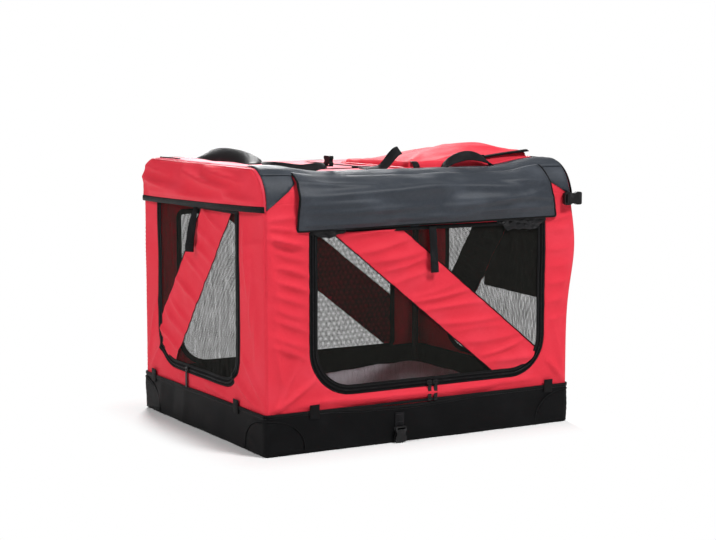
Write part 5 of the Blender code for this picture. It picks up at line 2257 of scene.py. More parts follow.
@dataclass
class EndCover:
    """Roll-up cover of an end: as wide as the hoop, hanging from its top edge."""

    name: str
    out: int
    hem: float
    slant: float
    lower_half: float
    bulge: float
    folds: Folds
    creases: tuple[Crease, ...] = ()
    rear_edge: float = 1.0
    edge_slack: float = 0.25
    # Whether a black sheet is laid inside the cover: painted shade that darkens its inner side.
    shade_lined: bool = False
    top: float = 0.5768

    def rear_at(self, z: float) -> float:
        """Where the cover's rear edge is at a height."""
        half = self.half_at(z)
        return half + (min(self.rear_edge, half) - half) * float(smooth(np.array((0.545 - z) / 0.11)))

    def half_at(self, z: float) -> float:
        """Half the cover's width at a height.

        Args:
            z: The height.

        Returns:
            Half the width.
        """
        lift = min(max((z - BOX.shoulder) / BOX.top_radius, 0), 0.999)
        half = BOX.centre + BOX.top_radius * math.sqrt(1 - lift * lift) - 0.001
        return half + (self.lower_half - half) * float(smooth(np.array((0.49 - z) / 0.03)))

    def swell(self, flat: Array) -> Array:
        """How far the cover stands off the wall.

        Args:
            flat: Places in the pattern.

        Returns:
            The push at each place.
        """
        y, z = flat.T
        v = (self.top - z) / (self.top - self.hem)
        u = y / 0.303
        ends = 1 - (1 - self.edge_slack) * np.clip(np.abs(u), 0, 1) ** 4
        return self.bulge * np.sin(math.pi * np.clip(v * 0.66 + 0.04, 0, 1)) * ends

    def hem_at(self, y: float) -> float:
        """Height of the hem at a place."""
        return self.hem - self.slant * y / (2 * self.lower_half)

    def build(self) -> None:
        """Cut the cover, hang it, and bind its hem and edge."""
        heights = np.linspace(self.hem, self.top, 26)
        rear = [(self.rear_at(z), z) for z in heights[1:-1]]
        front = [(-self.half_at(z), z) for z in reversed(heights[1:-1])]
        half = self.lower_half if self.hem < 0.48 else self.half_at(self.hem)
        back = min(half, self.rear_edge)
        flat_top = self.half_at(self.top)
        outline = [
            (-half, self.hem_at(-half)), (back, self.hem_at(back)), *rear, (flat_top, self.top),
            (-flat_top, self.top), *front,
        ]
        relief = Relief(
            self.creases, ripple=0.001, ripple_size=(0.12, 0.05), seed=41 + self.out, swell=self.swell
        )
        side = EndSide(self.out, relief)
        pattern = Pattern(outline, step=0.006)
        cloth = Cutter(side).sheet(self.name + "_cloth", pattern, 0.003, 0.0014)
        dress(cloth, Paint.RED, Role(self.name, (self.name,), self.folds))
        declare(cloth, pattern)
        plain = Role(self.name, (), self.folds)
        # The black sheet inside the cover is painted shade on its inner side.
        if self.shade_lined:
            lining = Cutter(side).sheet(self.name + "_lining", pattern, 0.0012, 0.0006)
            dress(lining, Paint.BLACK, plain)
        wide = 0.0125
        path = [(y, self.hem_at(y) + wide / 2 - 0.0005) for y in np.linspace(-half, back, 60)]
        hem = Cutter(side).trim(self.name + "_hem", path, tape(wide, 0.0022, 0.0006), lift=0.0022, step=0.006)
        dress(hem, Paint.BINDING, plain)
        over = [(self.rear_at(z) - 0.0005, z) for z in heights[2:]]
        over += [(y, self.top) for y in np.linspace(flat_top - 0.01, -flat_top + 0.01, 40)]
        over += [(0.0005 - self.half_at(z), z) for z in reversed(heights[2:])]
        edge = Cutter(side).trim(self.name + "_piping", over, cord(0.0011, 6), lift=0.0012, step=0.006)
        dress(edge, Paint.BINDING if self.out > 0 else Paint.RED_THREAD, plain)
        for shift, tag in ((wide + 0.0015, "upper"), (wide - 0.003, "lower")):
            seam = [(y, self.hem_at(y) + shift) for y in np.linspace(-half + 0.004, back - 0.004, 60)]
            stitches = Cutter(side).dashes(
                f"{self.name}_stitch_{tag}", seam, THIN_STITCH, STITCH_PITCH,
                0.003 if tag == "upper" else 0.0046,
            )
            dress(stitches, Paint.RED_THREAD if tag == "upper" else Paint.BLACK_THREAD, plain)


# Roof


@dataclass
class Roof:
    """Roof panel, zipped hatch, piping, and what is sewn on."""

    hatch: Four = (-0.232, -0.018, -0.13, 0.18)
    strip_starts: float = 50.0
    strip_over: float = 0.02
    piping_at: float = 62.0

    def build(self) -> None:
        """Build the roof."""
        self.lay_panel()
        self.lay_hatch()
        Pocket().build()
        Handles().build()

    def relief(self) -> Relief:
        """Soft hollows between the end hoops.

        Returns:
            The relief.
        """
        folds = (
            Crease((-0.33, -0.2), (-0.24, -0.1), 0.018, 0.0022),
            Crease((-0.3, 0.2), (-0.25, 0.05), 0.02, -0.0015),
            Crease((0.3, 0.18), (0.32, -0.18), 0.018, 0.0015),
        )
        return Relief(
            folds, ripple=0.001, ripple_size=(0.1, 0.1), seed=51, calm=(-0.3725, 0.3725, -0.215, 0.235),
            calm_width=0.02,
        )

    def lay_panel(self) -> None:
        """The roof cloth round the hatch, and the piping on its edges."""
        reach, deep = BOX.half_length - BOX.mitre, BOX.centre
        x0, x1, y0, y1 = self.hatch
        hole = rectangle((x0 - 0.001, x1 + 0.001, y0 - 0.001, y1 + 0.001), (0.01,) * 4)
        pattern = Pattern(rectangle((-reach, reach, -deep, deep)), [hole], 0.008)
        side = RoofSide(1, self.relief())
        panel = Cutter(side).sheet("roof_cloth", pattern, 0.0, 0.0018)
        # The roof cloth takes the paler red copy: painted highlight on the top of the crate.
        dress(panel, Paint.ROOF_RED, Role("roof", ("roof_panel",)))
        declare(panel, pattern)
        long = LongSide(1)
        up = BOX.shoulder + BOX.top_radius * math.radians(self.piping_at)
        line = [(x, up) for x in np.linspace(-0.366, 0.366, 80)]
        piping = Cutter(long).trim("rear_edge_piping", line, cord(0.0016, 6), lift=-0.0002, step=0.008)
        dress(piping, Paint.BINDING, Role("roof"))
        for name, x, front in (("left", -0.362, 0.125), ("right", 0.362, -0.232)):
            line = [(x, y) for y in np.linspace(front, 0.232, 50)]
            seam = Cutter(side).trim(f"{name}_edge_piping", line, cord(0.0014, 6), lift=-0.0004, step=0.008)
            dress(seam, Paint.BINDING, Role("roof"))
        self.sew_front_strip()

    def sew_front_strip(self) -> None:
        """The charcoal strip along the roof's front edge, which the cover hangs from."""
        low = BOX.shoulder + BOX.top_radius * math.radians(self.strip_starts)
        high = BOX.shoulder + BOX.arc + self.strip_over
        reach = BOX.half_length - 0.004
        wavy = [(x, high + 0.0015 * math.sin(x * 37)) for x in np.linspace(reach, -reach, 40)]
        pattern = Pattern([(-reach, low), (reach, low), *wavy], step=0.007)
        relief = Relief(
            ripple=0.0006, ripple_size=(0.06, 0.02), seed=57, calm=(-reach, reach, low, high + 0.002),
            calm_width=0.006,
        )
        strip = Cutter(LongSide(-1, relief)).sheet("front_edge_strip", pattern, 0.0024, 0.0012)
        dress(strip, Paint.CHARCOAL, Role("roof"))
        seam = [(x, high - 0.004) for x in np.linspace(-reach + 0.004, reach - 0.004, 60)]
        stitches = Cutter(LongSide(-1)).dashes("front_edge_stitch", seam, STITCH, STITCH_PITCH, 0.0025)
        dress(stitches, Paint.BLACK_THREAD, Role("roof"))

    def lay_hatch(self) -> None:
        """The hatch and its zip on three sides."""
        x0, x1, y0, y1 = self.hatch
        relief = Relief(ripple=0.0006, ripple_size=(0.08, 0.08), seed=52, calm=self.hatch, calm_width=0.012)
        side = RoofSide(1, relief)
        pattern = Pattern(rectangle((x0, x1, y0, y1), (0.01,) * 4), step=0.009)
        cloth = Cutter(side).sheet("roof_hatch_cloth", pattern, 0.0, 0.0018)
        dress(cloth, Paint.ROOF_RED, Role("roof_hatch", ("roof_hatch",)))
        declare(cloth, pattern)
        inset = 0.006
        corners = [
            (x0 + inset, y1 - 0.012), (x0 + inset, y0 + inset), (x1 - inset, y0 + inset),
            (x1 - inset, y1 - 0.012),
        ]
        line = rounded(corners, [0, 0.006, 0.006, 0], closed=False)
        section = [
            (-0.006, 0), (0.006, 0), (0.006, 0.0006), (0.0016, 0.0006), (0.0014, 0.0013),
            (-0.0014, 0.0013), (-0.0016, 0.0006), (-0.006, 0.0006),
        ]
        tape_piece = Cutter(side).trim("roof_hatch_zip", line, section, lift=0.0001)
        dress(tape_piece, Paint.TAPE, Role("roof_hatch"))
        teeth = Cutter(side).dashes("roof_hatch_coil", line, (0.0009, 0.0024, 0.0005), 0.002, 0.0013)
        dress(teeth, Paint.TEETH, Role("roof_hatch"))


@dataclass
class Pocket:
    """The roof's soft pocket: a wedge with slack sides, a zip and a webbing band."""

    edges: Four = (0.018, 0.342, -0.205, 0.085)
    base: float = 0.564
    front_low: float = 0.0145
    front_rise: float = 0.0185
    rise_starts: float = 0.19
    crest_low: float = 0.015
    crest_rise: float = 0.033
    crest_fall: float = 0.014
    top_at: float = 0.45
    zip_span: Flat = (0.196, 0.336)

    def height(self, x: Array, y: Array) -> Array:
        """Height of the pocket's top above the roof: low at the front left, full in the middle.

        Args:
            x: Places along the crate.
            y: Places across the crate.

        Returns:
            Heights above the roof.
        """
        x0, x1, y0, y1 = self.edges
        along, across = (x - x0) / (x1 - x0), np.clip((y - y0) / (y1 - y0), 0, 1)
        front = self.front_low + self.front_rise * np.maximum(
            0, (x - self.rise_starts) / (x1 - self.rise_starts)
        )
        climb, drop = smooth((along - 0.15) / 0.6), smooth((along - 0.78) / 0.22)
        crest = self.crest_low + self.crest_rise * climb - self.crest_fall * drop
        near = front + (crest - front) * np.sin(math.pi / 2 * np.minimum(across / self.top_at, 1))
        far = crest * (1 - 0.35 * smooth((across - self.top_at) / (1 - self.top_at)))
        return np.where(across < self.top_at, near, far)

    def build(self) -> None:
        """Build the pocket, the seam at its foot and its zip."""
        x0, x1, y0, y1 = self.edges
        across, along = 70, 76
        u = np.sign(np.linspace(-1, 1, across)) * np.abs(np.linspace(-1, 1, across)) ** 0.8
        v = np.sign(np.linspace(-1, 1, along)) * np.abs(np.linspace(-1, 1, along)) ** 0.8
        grid_u, grid_v = np.meshgrid(u, v, indexing="ij")
        uu, vv = grid_u.ravel(), grid_v.ravel()
        pull = 0.05 * uu**2 * vv**2
        mid_x, mid_y = (x0 + x1) / 2, (y0 + y1) / 2
        x = mid_x + uu * (x1 - x0) / 2 * (1 - pull)
        y = mid_y + vv * (y1 - y0) / 2 * (1 - pull)
        edge = np.maximum(np.abs(uu), np.abs(vv))
        fall = np.sqrt(np.clip(1 - ((edge - 0.95) / 0.05).clip(0, 1) ** 2, 0, 1)) * 0.8 + 0.2
        flat = np.stack([x, y], axis=1)
        folds = Relief(
            (
                Crease((0.03, -0.19), (0.14, -0.06), 0.01, 0.0046),
                Crease((0.06, -0.2), (0.2, -0.15), 0.008, 0.0044),
                Crease((0.14, 0.07), (0.2, -0.05), 0.014, 0.0042),
                Crease((0.31, -0.19), (0.21, -0.1), 0.01, 0.004),
                Crease((0.3, 0.06), (0.24, 0.0), 0.012, 0.0034),
                Crease((0.03, 0.0), (0.1, 0.03), 0.01, 0.003),
            ),
            ripple=0.0012, ripple_size=(0.06, 0.05), seed=61,
        ).lift(flat)
        top = self.base + self.height(x, y) * fall + folds * (fall - 0.2) * 0.8
        roof = BOX.height - BOX.sag(x)
        points = np.stack([x, y, np.maximum(top, roof + 0.0014)], axis=1)
        foot = np.stack([x, y, roof + 0.0004], axis=1)
        faces, count = [], across * along
        for i in range(across - 1):
            for j in range(along - 1):
                a = i * along + j
                faces.append((a, a + along, a + along + 1, a + 1))
        ring = rim_of(across, along)
        ring_at = {point: count + k for k, point in enumerate(ring)}
        points = np.concatenate([points, foot[ring]])
        for a, b in zip(ring, ring[1:] + ring[:1]):
            faces.append((ring_at[a], ring_at[b], b, a))
        uvs = np.concatenate([flat, flat[ring] + 0.02])
        bag = facing(add_mesh("roof_pocket_cloth", points, faces, uvs))
        thicken(bag, 0.0009)
        dress(bag, Paint.RED, Role("roof", ("roof_pocket",)))
        piping = self.foot_line(0.004)
        rings = strap(
            "roof_pocket_seam", piping, np.tile((0, 0, 1.0), (len(piping), 1)),
            [(0.0022 * math.cos(t), 0.0016 * math.sin(t)) for t in np.linspace(0, 2 * math.pi, 7)[:-1]],
        )
        dress(rings, Paint.RED_THREAD, Role("roof"))
        self.sew_zip()

    def foot_line(self, inset: float) -> Array:
        """The foot of the pocket's sides, just above the roof.

        Args:
            inset: Distance inside the edges.

        Returns:
            Points of the line.
        """
        x0, x1, y0, y1 = self.edges
        line = spaced(rectangle((x0, x1, y0, y1), (0.012,) * 4, -inset + 0.006), 0.012, True)
        line = np.concatenate([line, line[:1]])
        return np.stack([line[:, 0], line[:, 1], BOX.height - BOX.sag(line[:, 0]) + 0.0016], axis=1)

    def sew_zip(self) -> None:
        """The zip along the pocket's front top edge and the webbing band at its left."""
        xs = np.linspace(*self.zip_span, 34)
        y = self.edges[2] + 0.007
        z = self.base + self.height(xs, np.full(34, y)) * 0.985 + 0.0004
        path = np.stack([xs, np.full(34, y), z], axis=1)
        across = np.tile((0, -1.0, -0.25), (34, 1))
        tape_piece = strap("pocket_zip_tape", path, across, [(a, -b) for a, b in tape(0.014, 0.0016)])
        dress(tape_piece, Paint.TAPE, Role("roof"))
        coil = strap(
            "pocket_zip_coil", path + np.array([0, 0, 0.0014]), across,
            [(a, -b) for a, b in tape(0.004, 0.0012)],
        )
        dress(coil, Paint.TEETH, Role("roof"))
        ys = np.linspace(-0.2075, -0.16, 14)
        x = 0.04
        turned_down = np.clip((ys + 0.21) / 0.012, 0.15, 1) ** 0.5
        top = self.base + self.height(np.full(14, x), ys) * turned_down + 0.0008
        line = np.stack([np.full(14, x), ys, top], axis=1)
        line = np.concatenate([[(x, -0.2085, self.base + 0.002)], line])
        band = strap("pocket_band", line, np.tile((1.0, 0, 0), (15, 1)), tape(0.016, 0.0014))
        dress(band, Paint.WEBBING, Role("roof"))


@dataclass
class Handles:
    """The two carrying handles and the two loose straps."""

    left: tuple[Flat, Flat] = ((-0.303, 0.16), (-0.303, -0.128))
    left_rise: float = 0.013
    right: tuple[Flat, Flat] = ((0.102, -0.2205), (0.224, -0.2205))
    right_rise: float = 0.024
    base: float = 0.564

    def build(self) -> None:
        """Lay the handles and the straps."""
        left = self.arch(*self.left, self.left_rise, 40)
        twist = np.radians(62) * np.sin(np.linspace(0, math.pi, 40)) ** 0.5
        lean = np.stack([np.cos(twist), 0 * twist, np.sin(twist)], axis=1)
        belt = strap("left_handle_webbing", left, lean, tape(0.033, 0.0022, 0.0006))
        dress(belt, Paint.CRINKLED, Role("left_handle", ("left_handle",)))
        right = self.arch(*self.right, self.right_rise, 34)
        twist = np.radians(58) * np.sin(np.linspace(0, math.pi, 34)) ** 0.6
        lean = np.stack([0 * twist, np.cos(twist), np.sin(twist)], axis=1)
        belt = strap("right_handle_webbing", right, lean, tape(0.0235, 0.002, 0.0003))
        dress(belt, Paint.WEBBING, Role("right_handle", ("right_handle",)))
        shares = np.linspace(0, 1, 28)
        x = -0.302 + 0.12 * shares
        y = -0.205 + 0.052 * (1 - smooth(shares / 0.6))
        rise = 0.0024 + 0.0102 * smooth((shares - 0.4) / 0.6)
        path = np.stack([x, y, BOX.height - BOX.sag(x) + rise], axis=1)
        lean = np.stack([0.0 * shares, np.ones(28), 0.35 + 0.9 * np.sin(shares * 3.0)], axis=1)
        belt = strap("left_roof_strap_webbing", path, lean, tape(0.0215, 0.0018))
        dress(belt, Paint.WEBBING, Role("roof", ("left_roof_strap",)))
        x = -0.085 + 0.093 * shares
        rise = 0.0018 + 0.037 * smooth((shares - 0.46) / 0.54)
        path = np.stack([x, np.full(28, -0.19), self.base + rise], axis=1)
        lean = np.stack([-0.25 * shares, np.ones(28), 0.85 * shares], axis=1)
        belt = strap("right_roof_strap_webbing", path, lean, tape(0.0245, 0.0018))
        dress(belt, Paint.WEBBING, Role("roof", ("right_roof_strap",)))

    def arch(self, start: Flat, end: Flat, rise: float, count: int) -> Array:
        """A slack handle between two sewn ends.

        Args:
            start: Where it starts.
            end: Where it ends.
            rise: Height of its middle.
            count: Points on it.

        Returns:
            Points of the handle's line.
        """
        shares = np.linspace(0, 1, count)[:, None]
        flat = np.array(start) + (np.array(end) - np.array(start)) * shares
        foot = BOX.height - BOX.sag(flat[:, 0]) + 0.0014
        lift = rise * np.sin(math.pi * shares[:, 0]) ** 0.75
        return np.stack([flat[:, 0], flat[:, 1], foot + lift], axis=1)


# Corner patches and small cloth


@dataclass
class CornerPatches:
    """Charcoal reinforcements over the front's upper corners."""

    side: LongSide

    def build(self) -> None:
        """Sew the two patches."""
        top = BOX.shoulder + BOX.arc - 0.004
        edge = BOX.half_length - 0.004
        shapes = {
            "left": [(-edge, 0.496), (-0.315, 0.535), (-0.3, 0.55), (-0.3, top), (-edge, top)],
            "right": [(0.322, 0.534), (edge, 0.503), (edge, top), (0.3, top), (0.3, 0.55)],
        }
        for name, outline in shapes.items():
            pattern = Pattern(outline, step=0.006)
            patch = Cutter(self.side).sheet(f"{name}_corner_patch", pattern, 0.0011, 0.0009)
            dress(patch, Paint.CHARCOAL, Role("roof", (), Folds.PATCH))
            seam = Cutter(self.side).dashes(
                f"{name}_corner_stitch", outline[:2], STITCH, STITCH_PITCH, 0.0012
            )
            dress(seam, Paint.BLACK_THREAD, Role("roof", (), Folds.PATCH))


@dataclass
class TuckedCloth:
    """Slack cloth that bunches under the front cover."""

    name: str
    edges: Four
    paint: Paint
    seed: int

    def build(self) -> None:
        """Crumple a strip of lining and tuck it under the cover."""
        a0, a1, b0, b1 = self.edges
        random = np.random.default_rng(self.seed)
        folds = []
        for _ in range(26):
            a, b = random.uniform(a0, a1), random.uniform(b0, b1)
            turn = random.uniform(-0.9, 0.9)
            run = random.uniform(0.01, 0.026)
            tip = (a + run * math.cos(turn), b + run * math.sin(turn))
            folds.append(Crease((a, b), tip, random.uniform(0.0015, 0.003), random.uniform(-0.002, 0.004)))
        relief = Relief(
            tuple(folds), ripple=0.0012, ripple_size=(0.015, 0.01), seed=self.seed, calm=self.edges,
            calm_width=0.004,
        )
        side = LongSide(-1, relief)
        spots = np.linspace(a0, a1, 30)
        ragged = waves(np.stack([spots / 0.022, 0 * spots], axis=1), self.seed)
        taper = smooth(np.minimum(spots - a0, a1 - spots) / 0.03)
        lower = [
            (a, b1 - (b1 - b0) * (0.45 + 0.55 * t) + 0.0022 * r)
            for a, r, t in zip(spots, ragged, taper)
        ]
        pattern = Pattern(lower + [(a1, b1), (a0, b1)], step=0.0028)
        cloth = Cutter(side).sheet(self.name, pattern, 0.003, 0.0005)
        dress(cloth, self.paint, Role("front_door", (), Folds.FRONT))


# Rigid parts that stay


@dataclass
class Fittings:
    """Tubes, brackets, saddles and buckles of the model, with finer edges."""

    steel: tuple[str, ...] = (
        "base_frame", "foot_bracket_front_left", "foot_bracket_rear_left", "foot_bracket_front_right",
        "foot_bracket_rear_right", "left_front_lower_leg", "left_rear_lower_leg", "right_front_lower_leg",
        "right_rear_lower_leg", "left_upper_hoop", "right_upper_hoop", "front_roof_rail", "rear_roof_rail",
    )
    moulded: tuple[str, ...] = (
        "rail_saddle_front_left", "rail_saddle_front_right", "rail_saddle_rear_left",
        "rail_saddle_rear_right", "base_buckle", "roof_buckle", "side_buckle", "hatch_slider",
        "pocket_slider",
    )

    def build(self) -> None:
        """Dress the model's own parts."""
        for names, paint, width in ((self.steel, Paint.STEEL, 0.0), (self.moulded, Paint.PLASTIC, 0.0007)):
            for name in names:
                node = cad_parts[name]
                node.data.materials.clear()
                node.data.materials.append(paint.material)
                if width:
                    soften(node, width)
                else:
                    node.data.shade_smooth()
                    node.data.set_sharp_from_angle(angle=math.radians(40))
                LOG.info("%s: kept", name)


# Studio


@dataclass
class Studio:
    """Pale floor, soft light and the photograph's camera."""

    lens: float = 36 * 1680 / 716
    tilt: float = 90 - 6.54
    turn: float = -29.94
    place: tuple[float, float, float] = (-1.86, -3.256, 0.758)
    lights: tuple[tuple[str, tuple[float, float, float], float, float], ...] = (
        ("key", (0.9, -2.3, 3.5), 0.9, 128),
        ("side", (-3.4, -0.6, 2.6), 1.2, 65),
        ("rear", (0.9, 2.9, 2.1), 1.2, 120),
    )
    floor_reach: float = 14.0
    soft_white: float = 0.2

    def build(self) -> None:
        """Set the camera, lights, world and floor."""
        scene = bpy.context.scene
        scene.view_settings.view_transform = "Standard"
        camera = bpy.data.objects.new("camera", bpy.data.cameras.new("camera"))
        camera.data.lens = self.lens
        camera.data.sensor_width = 36
        camera.location = self.place
        camera.rotation_euler = (math.radians(self.tilt), 0, math.radians(self.turn))
        scene.collection.objects.link(camera)
        scene.camera = camera
        for name, place, size, power in self.lights:
            self.light(name, place, size, power)
        self.make_world(scene)
        self.lay_floor()

    def light(self, name: str, place: tuple[float, float, float], size: float, power: float) -> None:
        """Add one soft light that faces the crate.

        Args:
            name: Its name.
            place: Where it stands.
            size: Its diameter.
            power: Its power in watts.
        """
        data = bpy.data.lights.new(name, "AREA")
        data.shape = "DISK"
        data.size = size
        data.energy = power
        lamp = bpy.data.objects.new(name, data)
        lamp.location = place
        lamp.rotation_euler = (Vector((0, 0, 0.25)) - Vector(place)).to_track_quat("-Z", "Y").to_euler()
        bpy.context.scene.collection.objects.link(lamp)

    def make_world(self, scene: bpy.types.Scene) -> None:
        """Soft white all round, plain white to the camera.

        Args:
            scene: The scene.
        """
        graph = Graph(bpy.data.worlds.new("studio"))
        ray = graph.node("ShaderNodeLightPath").outputs
        straight = Wire(graph, ray["Is Camera Ray"]).most(Wire(graph, ray["Is Transmission Ray"]))
        soft, seen = (
            graph.node("ShaderNodeBackground", inputs={"Color": (1.0, 1.0, 1.0), "Strength": strength})
            for strength in (self.soft_white, 1.0)
        )
        shares = {0: straight, 1: soft.outputs[0], 2: seen.outputs[0]}
        graph.end(graph.node("ShaderNodeMixShader", inputs=shares))
        scene.world = graph.owner

    def lay_floor(self) -> None:
        """A wide pale floor that fades to white away from the crate."""
        size = self.floor_reach
        corners = np.array([(-size, -size, 0), (size, -size, 0), (size, size, 0), (-size, size, 0)], float)
        floor = add_mesh("floor", corners, [(0, 1, 2, 3)], corners[:, :2], smooth_faces=False)
        graph = Graph(bpy.data.materials.new("pale_floor"))
        place = graph.solid_place()
        grain = graph.noise(place, (0.05, 0.05, 0.05), 3.0)
        x, y, _ = graph.parts(place)
        past_x = (abs(x) - BOX.half_length).most(0.0)
        past_y = (abs(y) - BOX.half_depth).most(0.0)
        far = ((past_x * past_x + past_y * past_y) ** 0.5).ramp(0.012, 0.13)
        ray = Wire(graph, graph.node("ShaderNodeLightPath").outputs["Is Camera Ray"])
        diffuse = graph.node(
            "ShaderNodeBsdfPrincipled",
            inputs={
                "Base Color": graph.mixed(grain, (0.9, 0.9, 0.9), (0.92, 0.92, 0.92)),
                "Roughness": 0.9,
            },
        )
        white = graph.node("ShaderNodeEmission", inputs={"Color": (1.0, 1.0, 1.0), "Strength": 1.0})
        fade = {0: ray * far, 1: diffuse.outputs[0], 2: white.outputs[0]}
        graph.end(graph.node("ShaderNodeMixShader", inputs=fade))
        floor.data.materials.append(graph.owner)


# The crate


FRONT_CREASES = (
    Crease((-0.372, 0.463), (-0.3, 0.453), 0.0045, 0.0051),
    Crease((-0.368, 0.476), (-0.305, 0.481), 0.005, 0.0044),
    Crease((-0.366, 0.44), (-0.292, 0.424), 0.005, 0.0044),
    Crease((-0.352, 0.092), (-0.262, 0.148), 0.007, 0.0102),
    Crease((-0.345, 0.095), (-0.3, 0.19), 0.007, 0.007),
    Crease((-0.36, 0.095), (-0.345, 0.24), 0.008, 0.0041),
    Crease((-0.3, 0.098), (-0.23, 0.104), 0.006, 0.006),
    Crease((-0.24, 0.103), (-0.09, 0.098), 0.006, 0.0085),
    Crease((-0.11, 0.0975), (0.06, 0.096), 0.006, 0.009),
    Crease((-0.02, 0.105), (0.09, 0.106), 0.0045, 0.0036),
    Crease((0.06, 0.097), (0.18, 0.099), 0.006, 0.007),
    Crease((0.14, 0.102), (0.29, 0.105), 0.0055, 0.0046),
    Crease((0.36, 0.098), (0.318, 0.145), 0.007, 0.0078),
    Crease((0.365, 0.11), (0.33, 0.23), 0.008, 0.0044),
    Crease((0.366, 0.46), (0.325, 0.45), 0.006, 0.0044),
    Crease((0.36, 0.39), (0.345, 0.26), 0.008, 0.0037),
    *fold_row(((-0.28, 0.418), (-0.364, 0.44)), ((-0.28, 0.19), (-0.362, 0.223)), 9, 0.0075, 0.0095, 91),
    *fold_row(((0.318, 0.43), (0.366, 0.434)), ((0.318, 0.23), (0.362, 0.24)), 6, 0.008, 0.0068, 92),
    *fold_row(((-0.362, 0.43), (-0.35, 0.33)), ((-0.356, 0.24), (-0.33, 0.13)), 4, 0.01, 0.0075, 94),
)

LEFT_CREASES = (
    Crease((-0.15, 0.15), (-0.27, 0.095), 0.008, 0.0083),
    Crease((-0.2, 0.19), (-0.292, 0.115), 0.008, 0.0061),
    Crease((-0.02, 0.108), (-0.11, 0.099), 0.006, 0.0055),
    Crease((0.095, 0.109), (0.125, 0.099), 0.005, 0.0045),
    Crease((0.19, 0.17), (0.275, 0.098), 0.008, 0.0076),
    Crease((0.235, 0.26), (0.29, 0.13), 0.008, 0.0054),
    Crease((-0.215, 0.42), (-0.29, 0.43), 0.008, 0.0036),
    *fold_row(((-0.215, 0.46), (-0.225, 0.36)), ((-0.27, 0.3), (-0.262, 0.16)), 5, 0.011, 0.006, 93),
)

COVER_CREASES = (
    Crease((-0.3, 0.518), (0.06, 0.528), 0.0095, 0.0084, bow=0.004),
    Crease((-0.29, 0.49), (0.02, 0.496), 0.008, 0.007, bow=-0.003),
    Crease((-0.3, 0.504), (-0.12, 0.506), 0.006, 0.0057),
    Crease((-0.06, 0.535), (0.24, 0.524), 0.008, 0.0074, bow=0.004),
    Crease((0.04, 0.49), (0.3, 0.515), 0.0075, 0.0087, bow=-0.004),
    Crease((0.06, 0.505), (0.2, 0.508), 0.006, 0.006),
    Crease((0.1, 0.478), (0.32, 0.483), 0.006, 0.0067),
    Crease((-0.18, 0.472), (0.12, 0.47), 0.006, 0.0057),
    Crease((-0.28, 0.464), (-0.08, 0.463), 0.005, 0.005),
    Crease((0.18, 0.545), (0.31, 0.53), 0.0065, 0.006),
    Crease((-0.31, 0.55), (-0.12, 0.542), 0.007, 0.006),
    Crease((0.24, 0.505), (0.322, 0.5), 0.005, 0.0053),
)

FLAP_CREASES = (
    Crease((0.29, 0.535), (0.02, 0.518), 0.009, 0.013, bow=0.003),
    Crease((0.06, 0.56), (-0.18, 0.533), 0.0075, 0.0134, bow=0.003),
    Crease((-0.04, 0.568), (-0.23, 0.55), 0.0055, 0.01),
    Crease((0.24, 0.508), (-0.14, 0.508), 0.007, 0.0086),
    Crease((-0.16, 0.52), (-0.285, 0.51), 0.007, 0.0086),
    Crease((0.28, 0.562), (0.12, 0.55), 0.007, 0.0078),
)


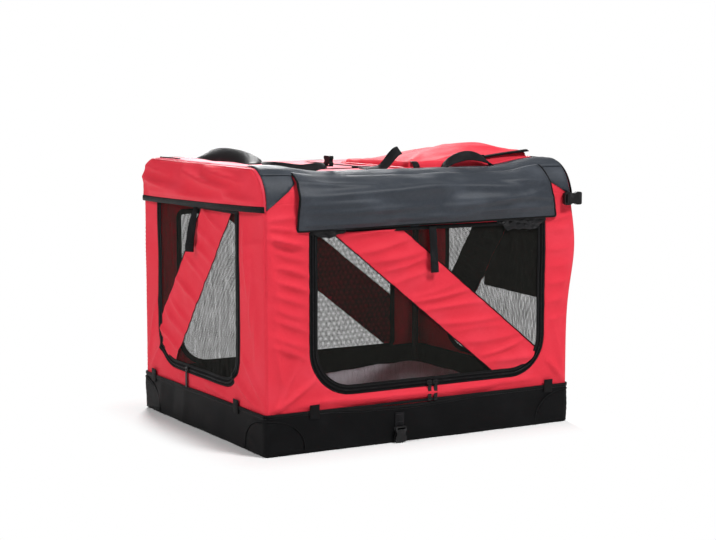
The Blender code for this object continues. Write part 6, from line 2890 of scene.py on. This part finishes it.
def build_crate() -> None:
    """Build every sub-assembly in order."""
    foot = BOX.band_height + 0.001
    long_edges = (-BOX.half_length, BOX.half_length, foot, 2.0)
    end_edges = (-BOX.half_depth, BOX.half_depth, foot, BOX.height)
    long_foot = puckers((-0.36, 0.09), (0.36, 0.09), 0.05, 9, 0.0022, 7)
    end_foot = puckers((-0.29, 0.09), (0.29, 0.09), 0.05, 8, 0.0022, 8)
    size = (0.1, 0.12)
    front = LongSide(-1, Relief(FRONT_CREASES, 0.0007, size, 2, long_edges))
    rear = LongSide(1, Relief(long_foot, 0.0009, size, 3, long_edges))
    left = EndSide(-1, Relief(LEFT_CREASES, 0.0007, size, 4, end_edges))
    right = EndSide(1, Relief(end_foot, 0.0009, size, 6, end_edges))
    front_door = (-0.274, 0.309, 0.112, 0.449)
    left_door = (-0.19, 0.229, 0.116, 0.487)
    rear_window = (-0.288, 0.288, 0.093, 0.45)
    right_window = (-0.225, 0.18, 0.103, 0.482)
    door_radii = {"front": (0.098, 0.088, 0.012, 0.012), "left": (0.072, 0.09, 0.012, 0.012)}
    rear_radii, right_radii = (0.07, 0.014, 0.012, 0.012), (0.06, 0.07, 0.012, 0.012)
    Wall("front_wall", front, front_door, door_radii["front"], 0.0048).build()
    Wall("rear_wall", rear, rear_window, rear_radii, 0.0065).build()
    Wall("left_wall", left, left_door, door_radii["left"], 0.0052).build()
    Wall("right_wall", right, right_window, right_radii, 0.0065).build()
    for name, side, edges, radii, brace, seed in (
        ("rear_window", rear, rear_window, rear_radii, ((-0.1, 0.45), (0.288, 0.149)), 13),
        ("right_window", right, right_window, right_radii, ((-0.052, 0.482), (0.18, 0.1727)), 17),
    ):
        base = Role("base", (), side.folds)
        # Only the right window's brace gets the black sheet behind it: painted shade seen from inside.
        NetPanel(
            name, side, edges, radii, brace, base, (name + "_net", name + "_stripe"), seed,
            shade_lined=side is right,
        ).build()
        line = rectangle(edges, radii)
        binding = Cutter(side).trim(name + "_binding", line, tape(0.01, 0.0014, 0.0003), closed=True)
        dress(binding, Paint.BINDING, base)
        inner = Cutter(side).trim(
            name + "_inner_binding", line, tape(0.012, 0.0012), closed=True, lift=-0.0036
        )
        dress(inner, Paint.BINDING, base)
    ZipDoor(
        "front", front, front_door, door_radii["front"], ((-0.1415, 0.45), (0.24, 0.1435)), (0.017, 0.449),
        ("_left", "_right"),
    ).build()
    ZipDoor(
        "left", left, left_door, door_radii["left"], ((-0.084, 0.486), (0.196, 0.1545)), (0.0175, 0.4835),
        ("",), tie_turn=0.75, seed=23, slope=0.36, brace_width=0.116, count=8,
    ).build()
    Foot().build()
    Mat().build()
    CornerPatches(front).build()
    TuckedCloth("tucked_lining_right", (0.18, 0.308, 0.433, 0.46), Paint.CRINKLED, 71).build()
    TuckedCloth("tucked_lining_left", (-0.272, -0.19, 0.437, 0.46), Paint.CRINKLED, 72).build()
    LongCover(
        "front_cover", -1, Paint.CHARCOAL, (-0.297, 0.308), (-0.303, 0.331), 0.453, creases=COVER_CREASES
    ).build()
    mirrored = tuple(
        Crease((-c.start[0], c.start[1]), (-c.end[0], c.end[1]), c.width, c.height, c.bow)
        for c in COVER_CREASES
    )
    LongCover("rear_cover", 1, Paint.RED, (-0.322, 0.322), (-0.31, 0.31), creases=mirrored).build()
    EndCover(
        "left_cover", -1, 0.4865, 0.012, 0.303, 0.017, Folds.LEFT_COVER, FLAP_CREASES, edge_slack=0.05
    ).build()
    hanging = (
        Crease((0.22, 0.54), (0.02, 0.34), 0.01, 0.005),
        Crease((-0.05, 0.55), (-0.09, 0.29), 0.014, 0.0034),
        Crease((-0.22, 0.5), (-0.18, 0.28), 0.012, 0.0034),
        Crease((0.14, 0.55), (-0.01, 0.3), 0.012, 0.004),
    )
    # The right cover gets the black sheet inside it: painted shade on its inner side.
    EndCover(
        "right_cover", 1, 0.267, -0.016, 0.25, 0.011, Folds.RIGHT_COVER, hanging, 0.035, 0.45, shade_lined=True
    ).build()
    Roof().build()
    Fittings().build()


def main() -> None:
    """Build the crate and the studio."""
    logging.basicConfig(level=logging.INFO, format="%(message)s")
    Studio().build()
    build_crate()


if __name__ == "__main__":
    main()
